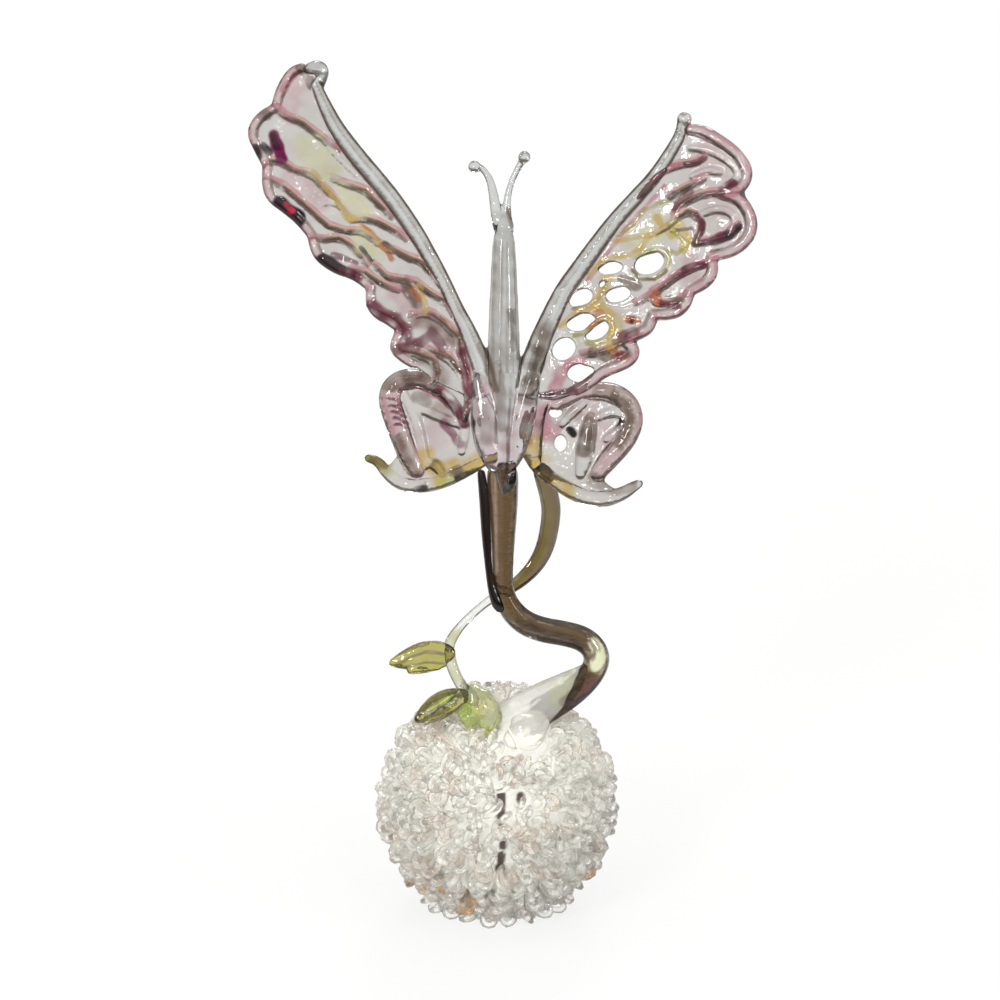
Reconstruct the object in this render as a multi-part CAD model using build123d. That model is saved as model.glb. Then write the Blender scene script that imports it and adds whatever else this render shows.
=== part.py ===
from build123d import *
import math
import os

# Torch-made glass butterfly on a twisting stem, standing on a ball of crocheted glass loops.
# Millimetres, +Z up, the origin is the centre of the flat foot under the ball.
# The figure above the ball leans back, and its wings are laid out in that leaning plane.

# Ball of crocheted glass
ball_radius = 14.0
ball_centre_height = 16.2
foot_radius = 8.0
core_sides = 18
core_rows = 8
crown_radius = 3.0
loop_height = 3.9
loop_width = 3.8
loop_wire_radius = 0.7
loop_twist = 38.0
loop_sides = 4
foot_row_height = 2.6
foot_row_slope = -14.0
foot_row_count = 12
row_latitudes = (-48.0, -30.0, -12.0, 6.0, 24.0, 42.0, 61.0)
row_counts = (12, 17, 19, 20, 18, 14, 8)
slit_width = 1.0
slit_depth = 3.0
slit_height = 3.6
slit_spacing = 5.6
loop_kept_share = 0.97

# Stance of the figure
lean_angle = 25.0
butterfly_rise = 51.2
butterfly_front = 20.0
butterfly_side = 1.0

# Stem and vine
stem_swing = 14.8
stem_radius = 2.45
stem_back = 3.2
stem_sides = 10
trail_radius = 0.75
vine_swing = 8.2
vine_radius = 1.15
leaf_length = 8.6
leaf_width = 4.6
leaf_thickness = 1.8
stalk_radius = 0.95

# Welds on the ball
seat_radius = 3.6
drop_radius = 3.5
knot_radius = 3.4

# Body
body_radius = 2.45
body_top = 33.4
body_front = 1.3
head_radius = 1.75
head_height = 3.4
antenna_reach = 4.5
antenna_height = 9.2
antenna_radius = 0.95
root_lobe_radius = 2.1
root_lobe_front = 1.0

# Forewings
left_reach = 37.5
left_height = 57.6
right_reach = 37.2
right_height = 49.7
forewing_dihedral = 14.0
spar_radius = 1.5
hook_radius = 1.0
lobe_radius = 1.3
film_thickness = 0.9
hole_length = 3.7
hole_height = 2.1
hole_corners = 8

# Hindwings
hindwing_dihedral = 8.0
hindwing_back = 1.3
hind_loop_radius = 1.6
fold_radius = 1.15
tail_radius = 1.35
twist_radius = 0.75

# Facets round a rod, and rings along each kind of rod
rod_sides = 8
fine_sides = 6
body_steps = 9
bead_steps = 4
drawn_steps = 9
lobe_steps = 8
hind_steps = 9
fold_steps = 7
short_steps = 6
stem_steps = 16
vine_steps = 11

# Slits in the front of the ball, counted from the middle one
slit_numbers = (-1, 0, 1)

# Loop of the ball from foot to foot: shares of half its width and of its height
loop_arch_shares = ((-1.0, 0.0), (-0.85, 0.78), (0.0, 1.0), (0.85, 0.78), (1.0, 0.0))

# Stem line from the butterfly down to the ball: shares of swing, rise and front
stem_line_shares = (
    (0.05, 1.06, 1.10),
    (0.03, 0.92, 1.04),
    (0.03, 0.78, 1.00),
    (0.03, 0.64, 0.95),
    (0.14, 0.55, 0.88),
    (0.47, 0.50, 0.76),
    (0.80, 0.48, 0.66),
    (1.00, 0.43, 0.60),
    (0.91, 0.35, 0.54),
    (0.64, 0.285, 0.47),
    (0.30, 0.22, 0.38),
)
stem_radius_shares = (
    (0.0, 0.7), (0.12, 1.1), (0.25, 1.15), (0.42, 0.92), (0.55, 0.8), (0.85, 0.9), (1.0, 0.75),
)

# Dark trail beside the stem: shares of rise, and of the stem's radius to its left
trail_line_shares = (0.90, 0.80, 0.70, 0.62, 0.60)
trail_radius_shares = ((0.0, 0.6), (0.7, 0.9), (0.9, 1.3), (1.0, 0.6))
trail_offset_share = 0.85

# Vine line from the right hindwing down to the upper leaf: shares of swing, rise and front
vine_line_shares = (
    (0.90, 0.94, 0.90),
    (1.00, 0.84, 0.72),
    (0.83, 0.71, 0.62),
    (0.41, 0.63, 0.56),
    (-0.12, 0.585, 0.56),
    (-0.62, 0.515, 0.56),
    (-0.92, 0.45, 0.53),
)
vine_radius_shares = ((0.0, 1.05), (0.45, 1.0), (0.7, 0.7), (1.0, 1.1))

# Leaves and stalk: place of the leaf bases as shares of vine swing, rise and front
upper_leaf_base_shares = (-0.86, 0.45, 0.53)
upper_leaf_tip_shares = (-1.92, 0.415, 0.60)
lower_leaf_base_shares = (-0.62, 0.305, 0.52)
lower_leaf_tip_shares = (-1.42, 0.245, 0.60)
leaf_width_shares = ((0.0, 0.45), (0.3, 0.95), (0.6, 1.0), (0.85, 0.6), (1.0, 0.2))
stalk_line_shares = (
    (-0.90, 0.45, 0.53),
    (-0.84, 0.40, 0.53),
    (-0.70, 0.35, 0.52),
    (-0.40, 0.29, 0.48),
)
stalk_radius_shares = ((0.0, 1.3), (0.4, 0.85), (1.0, 1.2))

# Seat of the weld lumps: shares of stem swing, rise and front
seat_line_shares = (
    (0.10, 0.225, 0.36),
    (0.36, 0.255, 0.40),
    (0.66, 0.305, 0.47),
    (0.92, 0.365, 0.53),
)
seat_radius_shares = ((0.0, 0.8), (0.3, 1.1), (0.7, 0.95), (1.0, 0.55))
drop_line_shares = ((0.36, 0.24, 0.42), (0.30, 0.205, 0.50), (0.26, 0.175, 0.53))
drop_radius_shares = ((0.0, 0.6), (0.35, 1.0), (0.7, 0.95), (1.0, 0.5))
knot_line_shares = ((-0.40, 0.295, 0.47), (-0.24, 0.26, 0.45), (-0.10, 0.22, 0.40))
knot_radius_shares = ((0.0, 0.5), (0.35, 1.0), (0.7, 1.0), (1.0, 0.6))

# Body parts: up is a share of the top or tip, radius shares follow the rod
body_line_shares = (1.0, 0.68, 0.33, 0.07, -0.17)
body_radius_shares = ((0.0, 0.6), (0.3, 0.78), (0.6, 1.0), (0.8, 0.95), (0.95, 0.7), (1.0, 0.35))
head_radius_shares = ((0.0, 0.8), (0.5, 1.0), (1.0, 0.55))
left_antenna_shares = ((0.10, -0.25), (-0.05, 0.10), (-0.30, 0.55), (-0.62, 0.90), (-0.98, 0.98))
right_antenna_shares = ((-0.10, -0.25), (0.10, 0.10), (0.28, 0.55), (0.55, 0.92), (0.80, 1.05))
antenna_radius_shares = ((0.0, 1.15), (0.35, 0.9), (0.72, 0.5), (0.86, 0.9), (0.95, 0.9), (1.0, 0.5))
left_root_shares = ((0.11, 0.15), (0.08, 0.08), (0.05, 0.01), (0.03, -0.05))
right_root_shares = ((0.16, 0.18), (0.11, 0.09), (0.08, 0.02), (0.04, -0.03))
root_radius_shares = ((0.0, 0.55), (0.5, 1.0), (0.75, 0.85), (1.0, 0.45))

# Forewing spars and lobes: shares of the wing's reach and height
left_spar_shares = (
    (0.04, 0.10), (0.12, 0.29), (0.28, 0.49), (0.43, 0.64), (0.56, 0.75),
    (0.67, 0.87), (0.745, 0.97),
)
left_spar_radius_shares = ((0.0, 1.3), (0.2, 1.15), (0.6, 0.95), (0.9, 0.7), (1.0, 0.6))
left_hook_shares = ((0.79, 0.955), (0.755, 0.982), (0.72, 0.985), (0.69, 0.97))
left_hook_radius_shares = ((0.0, 0.5), (0.3, 0.85), (0.7, 1.0), (0.9, 0.9), (1.0, 0.5))
right_spar_shares = (
    (0.05, 0.12), (0.14, 0.35), (0.31, 0.56), (0.43, 0.69), (0.55, 0.79), (0.65, 0.89), (0.71, 0.985),
)
right_spar_radius_shares = ((0.0, 1.7), (0.2, 1.35), (0.6, 0.9), (0.85, 0.7), (0.94, 0.9), (1.0, 0.6))
left_lobe_shares = (
    ((0.67, 0.86), (0.75, 0.93), (0.80, 0.96), (0.85, 0.93), (0.88, 0.88), (0.80, 0.84)),
    ((0.60, 0.77), (0.74, 0.81), (0.84, 0.84), (0.93, 0.86), (0.97, 0.81), (0.93, 0.74), (0.81, 0.73)),
    ((0.49, 0.66), (0.67, 0.69), (0.80, 0.72), (0.91, 0.71), (0.91, 0.65), (0.82, 0.58), (0.70, 0.58)),
    ((0.39, 0.56), (0.55, 0.58), (0.68, 0.58), (0.76, 0.55), (0.73, 0.49), (0.60, 0.44), (0.49, 0.45)),
    ((0.30, 0.48), (0.41, 0.50), (0.49, 0.48), (0.53, 0.42), (0.50, 0.36), (0.42, 0.33), (0.34, 0.35)),
    ((0.19, 0.36), (0.30, 0.41), (0.38, 0.36), (0.41, 0.30), (0.38, 0.24), (0.27, 0.23)),
)
right_lobe_shares = (
    ((0.60, 0.87), (0.69, 0.94), (0.77, 0.95), (0.89, 0.90), (0.93, 0.81), (0.83, 0.76), (0.74, 0.78)),
    ((0.47, 0.73), (0.60, 0.78), (0.74, 0.78), (0.87, 0.75), (0.96, 0.69), (0.92, 0.61), (0.79, 0.59)),
    ((0.37, 0.62), (0.54, 0.64), (0.70, 0.62), (0.80, 0.57), (0.81, 0.52), (0.72, 0.48), (0.62, 0.51)),
    ((0.27, 0.51), (0.38, 0.51), (0.51, 0.51), (0.62, 0.50), (0.71, 0.46), (0.70, 0.42), (0.59, 0.41)),
    ((0.19, 0.42), (0.38, 0.43), (0.51, 0.43), (0.58, 0.39), (0.56, 0.35), (0.47, 0.34)),
    ((0.14, 0.32), (0.30, 0.33), (0.40, 0.34), (0.48, 0.31), (0.47, 0.26), (0.39, 0.225), (0.31, 0.23)),
)
lobe_radius_shares = ((0.0, 0.5), (0.3, 0.6), (0.45, 1.0), (0.8, 1.0), (1.0, 0.55))
left_film_shares = (
    (0.70, 0.90), (0.53, 0.72), (0.36, 0.57), (0.20, 0.39), (0.06, 0.16), (0.13, 0.13), (0.27, 0.19),
    (0.37, 0.24), (0.40, 0.31), (0.50, 0.37), (0.52, 0.42), (0.72, 0.49), (0.74, 0.55), (0.90, 0.66),
    (0.92, 0.74), (0.96, 0.82), (0.87, 0.88), (0.80, 0.95),
)
right_film_shares = (
    (0.68, 0.94), (0.55, 0.79), (0.32, 0.57), (0.15, 0.36), (0.06, 0.16), (0.14, 0.14), (0.34, 0.22),
    (0.47, 0.27), (0.48, 0.33), (0.57, 0.37), (0.58, 0.40), (0.70, 0.43), (0.71, 0.48), (0.80, 0.53),
    (0.80, 0.58), (0.93, 0.62), (0.95, 0.70), (0.86, 0.76), (0.92, 0.82), (0.88, 0.90), (0.77, 0.94),
)
right_hole_shares = (
    (0.42, 0.56, 0.8), (0.58, 0.56, 1.1), (0.32, 0.47, 0.85), (0.46, 0.47, 1.0),
    (0.30, 0.385, 1.0), (0.41, 0.385, 0.7), (0.22, 0.275, 0.9), (0.34, 0.275, 0.75),
)

# Hindwings: shares of the same wing's reach and height
left_hind_loop_shares = (
    (0.04, 0.08), (0.18, 0.15), (0.31, 0.19), (0.41, 0.19), (0.45, 0.14), (0.43, 0.06), (0.39, -0.02),
)
left_fold_shares = ((0.07, 0.04), (0.19, 0.06), (0.28, 0.09), (0.35, 0.06), (0.31, 0.0), (0.26, -0.05))
left_hind_film_shares = (
    (0.04, 0.06), (0.18, 0.15), (0.33, 0.19), (0.44, 0.15), (0.43, 0.06), (0.39, -0.03), (0.29, -0.07),
    (0.15, -0.04), (0.05, 0.0),
)
left_tail_shares = ((0.52, -0.01), (0.48, -0.045), (0.39, -0.075), (0.29, -0.08), (0.18, -0.05), (0.06, 0.01))
right_hind_loop_shares = (
    (0.04, 0.07), (0.16, 0.15), (0.30, 0.19), (0.43, 0.19), (0.51, 0.13), (0.51, 0.05), (0.44, -0.02),
    (0.39, -0.08),
)
right_fold_shares = ((0.08, 0.09), (0.20, 0.09), (0.30, 0.10), (0.36, 0.06), (0.35, -0.02), (0.32, -0.08))
right_hind_film_shares = (
    (0.04, 0.07), (0.17, 0.15), (0.38, 0.19), (0.50, 0.13), (0.50, 0.04), (0.40, -0.07), (0.28, -0.09),
    (0.16, -0.03), (0.05, 0.02),
)
right_tail_shares = (
    (0.05, 0.02), (0.16, -0.045), (0.28, -0.095), (0.39, -0.125), (0.47, -0.115), (0.54, -0.09),
)
hind_radius_shares = ((0.0, 0.7), (0.4, 1.0), (0.8, 1.0), (1.0, 0.55))
left_tail_radius_shares = ((0.0, 0.65), (0.2, 0.95), (0.6, 1.1), (1.0, 0.7))
right_tail_radius_shares = ((0.0, 0.7), (0.4, 1.1), (0.7, 1.0), (0.9, 0.75), (1.0, 0.5))
twist_line_shares = ((0.16, 0.135), (0.22, 0.16), (0.28, 0.175), (0.35, 0.20))
twist_radius_shares = ((0.0, 1.0), (0.5, 0.8), (1.0, 1.0))

lean_radians = math.radians(lean_angle)
figure = Plane(
    origin=(0, 0, ball_centre_height),
    x_dir=(1, 0, 0),
    z_dir=(0, -math.cos(lean_radians), math.sin(lean_radians)),
)
butterfly = Plane(
    origin=figure.from_local_coords(Vector(butterfly_side, butterfly_rise, butterfly_front)),
    x_dir=figure.x_dir,
    z_dir=figure.z_dir,
)


def value_along(pairs, share):
    """The value at a share of a rod's length, between the pairs of share and value."""
    for (low, first), (high, last) in zip(pairs, pairs[1:]):
        if share <= high:
            return first + (last - first) * (share - low) / (high - low)
    return pairs[-1][1]


def skin(rings, four_cornered=False):
    """A closed solid of flat facets, of three or four corners, that joins each ring to the next."""
    faces = [Face(Wire.make_polygon(rings[0])), Face(Wire.make_polygon(rings[-1]))]
    for low, high in zip(rings, rings[1:]):
        for side in range(len(low)):
            after = (side + 1) % len(low)
            corners = (low[side], low[after], high[after], high[side])
            if four_cornered:
                faces.append(Face(Wire.make_polygon(corners)))
            else:
                faces.append(Face(Wire.make_polygon(corners[:3])))
                faces.append(Face(Wire.make_polygon((corners[0], corners[2], corners[3]))))
    return Solid(Shell(faces))


def section_ring(plane, radius, sides, flatness=1.0):
    """The corners of a rod's section in a plane across it."""
    turns = [math.tau * (side + 0.5) / sides for side in range(sides)]
    corners = [(radius * math.cos(turn), radius * flatness * math.sin(turn)) for turn in turns]
    return [plane.from_local_coords(Vector(across, along, 0)) for across, along in corners]


def glass_rod(points, radius, radius_shares, sides, steps, flatness=1.0):
    """A rod drawn along a smooth line, its radius following the shares of the named one."""
    line = Spline(*points)
    first = line % 0
    across = Vector(1, 0, 0) if abs(first.X) < abs(first.Z) else Vector(0, 0, 1)
    rings = []
    for step in range(steps + 1):
        share = step / steps
        tangent = line % share
        across = (across - tangent * across.dot(tangent)).normalized()
        plane = Plane(origin=line @ share, x_dir=across, z_dir=tangent)
        girth = radius * value_along(radius_shares, share)
        rings.append(section_ring(plane, girth, sides, flatness))
    return skin(rings)


def carve(piece, *neighbours):
    """The piece without the room that its neighbours take, as its largest fused part."""
    for other in neighbours:
        piece = piece - other
    return max(piece.solids(), key=lambda solid: solid.volume)


def carve_all(piece, *neighbours):
    """All the parts of a piece that are left beside its neighbours."""
    for other in neighbours:
        piece = piece - other
    return piece.solids()


def touches(first, second):
    """Whether two bounding boxes share any room."""
    return all(
        low < high
        for low, high in (
            (first.min.X, second.max.X),
            (second.min.X, first.max.X),
            (first.min.Y, second.max.Y),
            (second.min.Y, first.max.Y),
            (first.min.Z, second.max.Z),
            (second.min.Z, first.max.Z),
        )
    )


def on_figure(shares, side, back=0.0):
    """A point of the leaning figure from its shares of side, rise and front."""
    place = Vector(
        shares[0] * side,
        shares[1] * butterfly_rise,
        shares[2] * (butterfly_front - back),
    )
    return figure.from_local_coords(place)


class Wing:
    """The plane, reach and height of one wing, measured from the wing roots."""

    def __init__(self, hand, reach, height, dihedral, back=0.0):
        turn = math.radians(dihedral)
        outward = butterfly.x_dir * (hand * math.cos(turn)) + butterfly.z_dir * math.sin(turn)
        root = butterfly.from_local_coords(Vector(0, 0, -back))
        self.plane = Plane(origin=root, x_dir=outward, z_dir=outward.cross(butterfly.y_dir))
        self.reach = reach / math.cos(turn)
        self.height = height

    def point(self, shares):
        return self.plane.from_local_coords(Vector(shares[0] * self.reach, shares[1] * self.height, 0))

    def pane(self, outline_shares):
        corners = [(across * self.reach, up * self.height) for across, up in outline_shares]
        face = self.plane * make_face(Polyline(*corners, close=True))
        return extrude(face, amount=film_thickness / 2, both=True)

    def hole(self, across, up, size):
        place = self.plane * Pos(across * self.reach, up * self.height)
        ring = [
            (
                hole_length / 2 * size * math.cos(math.tau * corner / hole_corners),
                hole_height / 2 * size * math.sin(math.tau * corner / hole_corners),
            )
            for corner in range(hole_corners)
        ]
        return extrude(place * make_face(Polyline(*ring, close=True)), amount=film_thickness, both=True)

    def rod(self, line_shares, radius, radius_shares, steps, sides=rod_sides):
        points = [self.point(shares) for shares in line_shares]
        return glass_rod(points, radius, radius_shares, sides, steps)


def ring_round(height, radius):
    """The corners of one level ring of the ball."""
    return [
        Vector(radius * math.cos(turn), radius * math.sin(turn), height)
        for turn in (math.tau * side / core_sides for side in range(core_sides))
    ]


def ball_core():
    """The fused ball that carries the loops, pressed flat below and slit in front."""
    lowest = -math.acos(foot_radius / ball_radius)
    highest = math.acos(crown_radius / ball_radius)
    rings = [ring_round(0, foot_radius)]
    for row in range(core_rows + 1):
        angle = lowest + (highest - lowest) * row / core_rows
        height = ball_centre_height + ball_radius * math.sin(angle)
        rings.append(ring_round(height, ball_radius * math.cos(angle)))
    core = skin(rings, four_cornered=True)
    for number in slit_numbers:
        slit = Box(slit_width, slit_height, 2 * slit_depth)
        core = core - figure * Pos(0, number * slit_spacing, ball_radius) * slit
    return core.solid()


def crochet_loop(place, up, twist):
    """One arched loop that stands at a place of the ball, its feet sunk in the core."""
    east = Vector(0, 0, 1).cross(up).normalized()
    foot = Plane(
        origin=place - up * loop_wire_radius,
        x_dir=east.rotate(Axis((0, 0, 0), up), twist),
        z_dir=up,
    )
    half = loop_width / 2 - loop_wire_radius
    arch = [(across * half, height * loop_height) for across, height in loop_arch_shares]
    rings = []
    for number, (across, height) in enumerate(arch):
        before = arch[max(number - 1, 0)]
        after = arch[min(number + 1, len(arch) - 1)]
        way = foot.x_dir * (after[0] - before[0]) + foot.z_dir * (after[1] - before[1])
        centre = foot.from_local_coords(Vector(across, 0, height))
        section = Plane(origin=centre, x_dir=foot.y_dir, z_dir=way)
        rings.append(section_ring(section, loop_wire_radius, loop_sides))
    return skin(rings, four_cornered=True)


def loop_row(height, radius, latitude, count, start):
    """A row of loops round the ball, each turned the other way from its neighbour."""
    loops = []
    slope = math.radians(latitude)
    for number in range(count):
        longitude = math.tau * (number + start) / count
        outward = Vector(math.cos(longitude), math.sin(longitude), 0)
        place = outward * radius + Vector(0, 0, height)
        up = outward * math.cos(slope) + Vector(0, 0, 1) * math.sin(slope)
        loops.append(crochet_loop(place, up, loop_twist if number % 2 else -loop_twist))
    return loops


def leaf(base_shares, tip_shares):
    """A small pressed leaf, thin across the figure's front, from its base to its tip."""
    base = on_figure(base_shares, vine_swing)
    tip = on_figure(tip_shares, vine_swing)
    way = (tip - base).normalized()
    points = [base, base + way * (leaf_length / 2), base + way * leaf_length]
    return glass_rod(
        points, leaf_width / 2, leaf_width_shares, rod_sides, fold_steps,
        flatness=leaf_thickness / leaf_width,
    )


def figure_rod(line_shares, side, radius, radius_shares, steps, back=0.0, sides=rod_sides):
    """A rod whose line is given in shares of the leaning figure."""
    points = [on_figure(shares, side, back) for shares in line_shares]
    return glass_rod(points, radius, radius_shares, sides, steps)


def butterfly_rod(places, front, radius, radius_shares, steps, sides=rod_sides):
    """A rod laid on the butterfly, its places given as side and height in millimetres."""
    points = [butterfly.from_local_coords(Vector(side, up, front)) for side, up in places]
    return glass_rod(points, radius, radius_shares, sides, steps)


nodes = {}

# Body, head and antennae
body_places = [(0, share * body_top) for share in body_line_shares]
nodes["body"] = butterfly_rod(body_places, body_front, body_radius, body_radius_shares, body_steps)
head_places = [(0, body_top - head_height / 2), (0, body_top), (0, body_top + head_height / 2)]
head = butterfly_rod(head_places, body_front, head_radius, head_radius_shares, bead_steps)
nodes["head"] = carve(head, nodes["body"])
antenna_base = body_top + head_height / 2
for name, shares in (("left_antenna", left_antenna_shares), ("right_antenna", right_antenna_shares)):
    places = [(side * antenna_reach, antenna_base + up * antenna_height) for side, up in shares]
    nodes[name] = butterfly_rod(
        places, body_front, antenna_radius, antenna_radius_shares, drawn_steps, fine_sides
    )
nodes["left_antenna"] = carve(nodes["left_antenna"], nodes["head"], nodes["body"])
nodes["right_antenna"] = carve(
    nodes["right_antenna"], nodes["head"], nodes["body"], nodes["left_antenna"]
)

# Forewings
left_fore = Wing(-1, left_reach, left_height, forewing_dihedral)
right_fore = Wing(1, right_reach, right_height, forewing_dihedral)
nodes["left_forewing_spar"] = carve(
    left_fore.rod(left_spar_shares, spar_radius, left_spar_radius_shares, drawn_steps), nodes["body"]
)
nodes["right_forewing_spar"] = carve(
    right_fore.rod(right_spar_shares, spar_radius, right_spar_radius_shares, drawn_steps),
    nodes["body"],
    nodes["left_forewing_spar"],
)
nodes["left_tip_hook"] = carve(
    left_fore.rod(left_hook_shares, hook_radius, left_hook_radius_shares, short_steps, fine_sides),
    nodes["left_forewing_spar"],
)
fore_tables = (
    (left_fore, left_lobe_shares, "left_forewing", ["left_forewing_spar", "left_tip_hook"]),
    (right_fore, right_lobe_shares, "right_forewing", ["right_forewing_spar"]),
)
for wing, tables, title, carried in fore_tables:
    for number, shares in enumerate(tables, start=1):
        lobe = wing.rod(shares, lobe_radius, lobe_radius_shares, lobe_steps, fine_sides)
        near = [nodes[name] for name in carried[-3:] + carried[:1]]
        nodes[f"{title}_lobe_{number}"] = carve(lobe, *near)
        carried.append(f"{title}_lobe_{number}")

# Hindwings
left_hind = Wing(-1, left_reach, left_height, hindwing_dihedral, hindwing_back)
right_hind = Wing(1, right_reach, right_height, hindwing_dihedral, hindwing_back)
hind_tables = (
    ("left", left_hind, left_hind_loop_shares, left_fold_shares, left_tail_shares, left_tail_radius_shares),
    (
        "right", right_hind, right_hind_loop_shares, right_fold_shares, right_tail_shares,
        right_tail_radius_shares,
    ),
)
for hand, wing, loop_shares, fold_shares, tail_shares, tail_widths in hind_tables:
    near = [nodes["body"], nodes[hand + "_forewing_spar"], nodes[hand + "_forewing_lobe_6"]]
    loop = carve(wing.rod(loop_shares, hind_loop_radius, hind_radius_shares, hind_steps), *near)
    tail = carve(wing.rod(tail_shares, tail_radius, tail_widths, hind_steps), *near, loop)
    fold = wing.rod(fold_shares, fold_radius, hind_radius_shares, fold_steps, fine_sides)
    nodes[hand + "_hindwing_loop"] = loop
    nodes[hand + "_hindwing_tail"] = tail
    nodes[hand + "_hindwing_fold"] = carve(fold, *near, loop, tail)

# Pinkish drops over the wing roots
near = [nodes["body"]]
for hand, wing, shares in (("left", left_fore, left_root_shares), ("right", right_fore, right_root_shares)):
    points = [wing.point(place) + butterfly.z_dir * root_lobe_front for place in shares]
    drop = glass_rod(points, root_lobe_radius, root_radius_shares, rod_sides, short_steps)
    near.append(nodes[hand + "_forewing_spar"])
    near += [nodes[hand + "_hindwing_" + piece] for piece in ("loop", "tail", "fold")]
    nodes[hand + "_root_lobe"] = carve(drop, *near)
    near.append(nodes[hand + "_root_lobe"])

# Short twisted trail between the right forewing and hindwing
twist = right_fore.rod(twist_line_shares, twist_radius, twist_radius_shares, short_steps, fine_sides)
near = [nodes["right_forewing_" + piece] for piece in ("spar", "lobe_6")]
nodes["right_twist"] = carve(twist, *near, nodes["right_hindwing_loop"], nodes["right_root_lobe"])

# Panes of thin glass between the trails
film_tables = (
    ("left", left_fore, left_hind, left_film_shares, left_hind_film_shares, ()),
    ("right", right_fore, right_hind, right_film_shares, right_hind_film_shares, right_hole_shares),
)
for hand, fore, hind, fore_shares, hind_shares, holes in film_tables:
    near = [nodes["body"], nodes[hand + "_root_lobe"], nodes[hand + "_forewing_spar"]]
    near += [nodes[f"{hand}_forewing_lobe_{number + 1}"] for number in range(len(left_lobe_shares))]
    near += [nodes[hand + "_hindwing_" + piece] for piece in ("loop", "fold")]
    near.append(nodes["right_twist"] if hand == "right" else nodes["left_tip_hook"])
    pane = fore.pane(fore_shares)
    for across, up, size in holes:
        pane = pane - fore.hole(across, up, size)
    nodes[hand + "_forewing_film"] = carve_all(pane, *near)
    near = [nodes["body"], nodes[hand + "_root_lobe"], nodes[hand + "_forewing_spar"]]
    near += [nodes[hand + "_hindwing_" + piece] for piece in ("loop", "fold", "tail")]
    near.append(nodes[hand + "_forewing_lobe_6"])
    nodes[hand + "_hindwing_film"] = carve_all(hind.pane(hind_shares), *near)

# Stem with its dark trail
upper = [nodes[name] for name in ("body", "left_root_lobe", "right_root_lobe")]
for hand in ("left", "right"):
    upper += [nodes[hand + "_hindwing_" + piece] for piece in ("loop", "tail", "fold")]
    upper += [nodes[hand + "_forewing_spar"], *nodes[hand + "_hindwing_film"]]
stem = figure_rod(
    stem_line_shares, stem_swing, stem_radius, stem_radius_shares, stem_steps, stem_back, stem_sides
)
nodes["main_stem"] = carve(stem, *upper)
trail_points = [
    figure.from_local_coords(
        Vector(
            stem_line_shares[0][0] * stem_swing - trail_offset_share * stem_radius,
            share * butterfly_rise,
            butterfly_front - stem_back + trail_radius,
        )
    )
    for share in trail_line_shares
]
trail = glass_rod(trail_points, trail_radius, trail_radius_shares, fine_sides, lobe_steps)
nodes["dark_trail"] = carve(trail, nodes["main_stem"], *upper)

# Vine, leaves and stalk
vine = figure_rod(vine_line_shares, vine_swing, vine_radius, vine_radius_shares, vine_steps)
nodes["vine"] = carve(vine, nodes["main_stem"], *upper)
nodes["upper_leaf"] = carve(leaf(upper_leaf_base_shares, upper_leaf_tip_shares), nodes["vine"])
stalk = figure_rod(stalk_line_shares, vine_swing, stalk_radius, stalk_radius_shares, short_steps)
nodes["leaf_stalk"] = carve(stalk, nodes["vine"], nodes["upper_leaf"])
nodes["lower_leaf"] = carve(leaf(lower_leaf_base_shares, lower_leaf_tip_shares), nodes["leaf_stalk"])

# Ball of loops and the welds on it
core = ball_core()
nodes["loop_ball_core"] = core
nodes["main_stem"] = carve(nodes["main_stem"], core)
seat = figure_rod(seat_line_shares, stem_swing, seat_radius, seat_radius_shares, short_steps)
nodes["clear_seat"] = carve(seat, core, nodes["main_stem"])
drop = figure_rod(drop_line_shares, stem_swing, drop_radius, drop_radius_shares, short_steps)
nodes["clear_drop"] = carve(drop, core, nodes["main_stem"], nodes["clear_seat"])
knot = figure_rod(knot_line_shares, vine_swing, knot_radius, knot_radius_shares, short_steps)
nodes["green_knot"] = carve(
    knot, core, nodes["leaf_stalk"], nodes["lower_leaf"], nodes["clear_seat"], nodes["clear_drop"]
)
weld_names = ("clear_seat", "clear_drop", "green_knot", "main_stem", "lower_leaf", "leaf_stalk")
welds = [nodes[name] for name in weld_names]
weld_boxes = [weld.bounding_box() for weld in welds]
rows = [(foot_row_height, foot_radius, foot_row_slope, foot_row_count)]
for latitude, count in zip(row_latitudes, row_counts):
    slope = math.radians(latitude)
    height = ball_centre_height + ball_radius * math.sin(slope)
    rows.append((height, ball_radius * math.cos(slope), latitude, count))
for number, (height, radius, latitude, count) in enumerate(rows, start=1):
    loops = []
    for loop in loop_row(height, radius, latitude, count, number / 2):
        near = [weld for weld, box in zip(welds, weld_boxes) if touches(loop.bounding_box(), box)]
        room = loop.volume
        for weld in near:
            loop = loop - weld
        if loop.volume > room * loop_kept_share:
            loops += loop.solids()
    nodes[f"loop_row_{number}"] = (Compound(loops) - core).solids()

os.makedirs("parts", exist_ok=True)
for name, solids in nodes.items():
    whole = Compound(solids) if isinstance(solids, list) else solids
    export_step(whole, f"parts/{name}.step")
    print(name, round(whole.volume, 2), whole.is_valid)
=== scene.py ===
import math

import bpy
import numpy as np
from mathutils import Matrix, Vector


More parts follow.
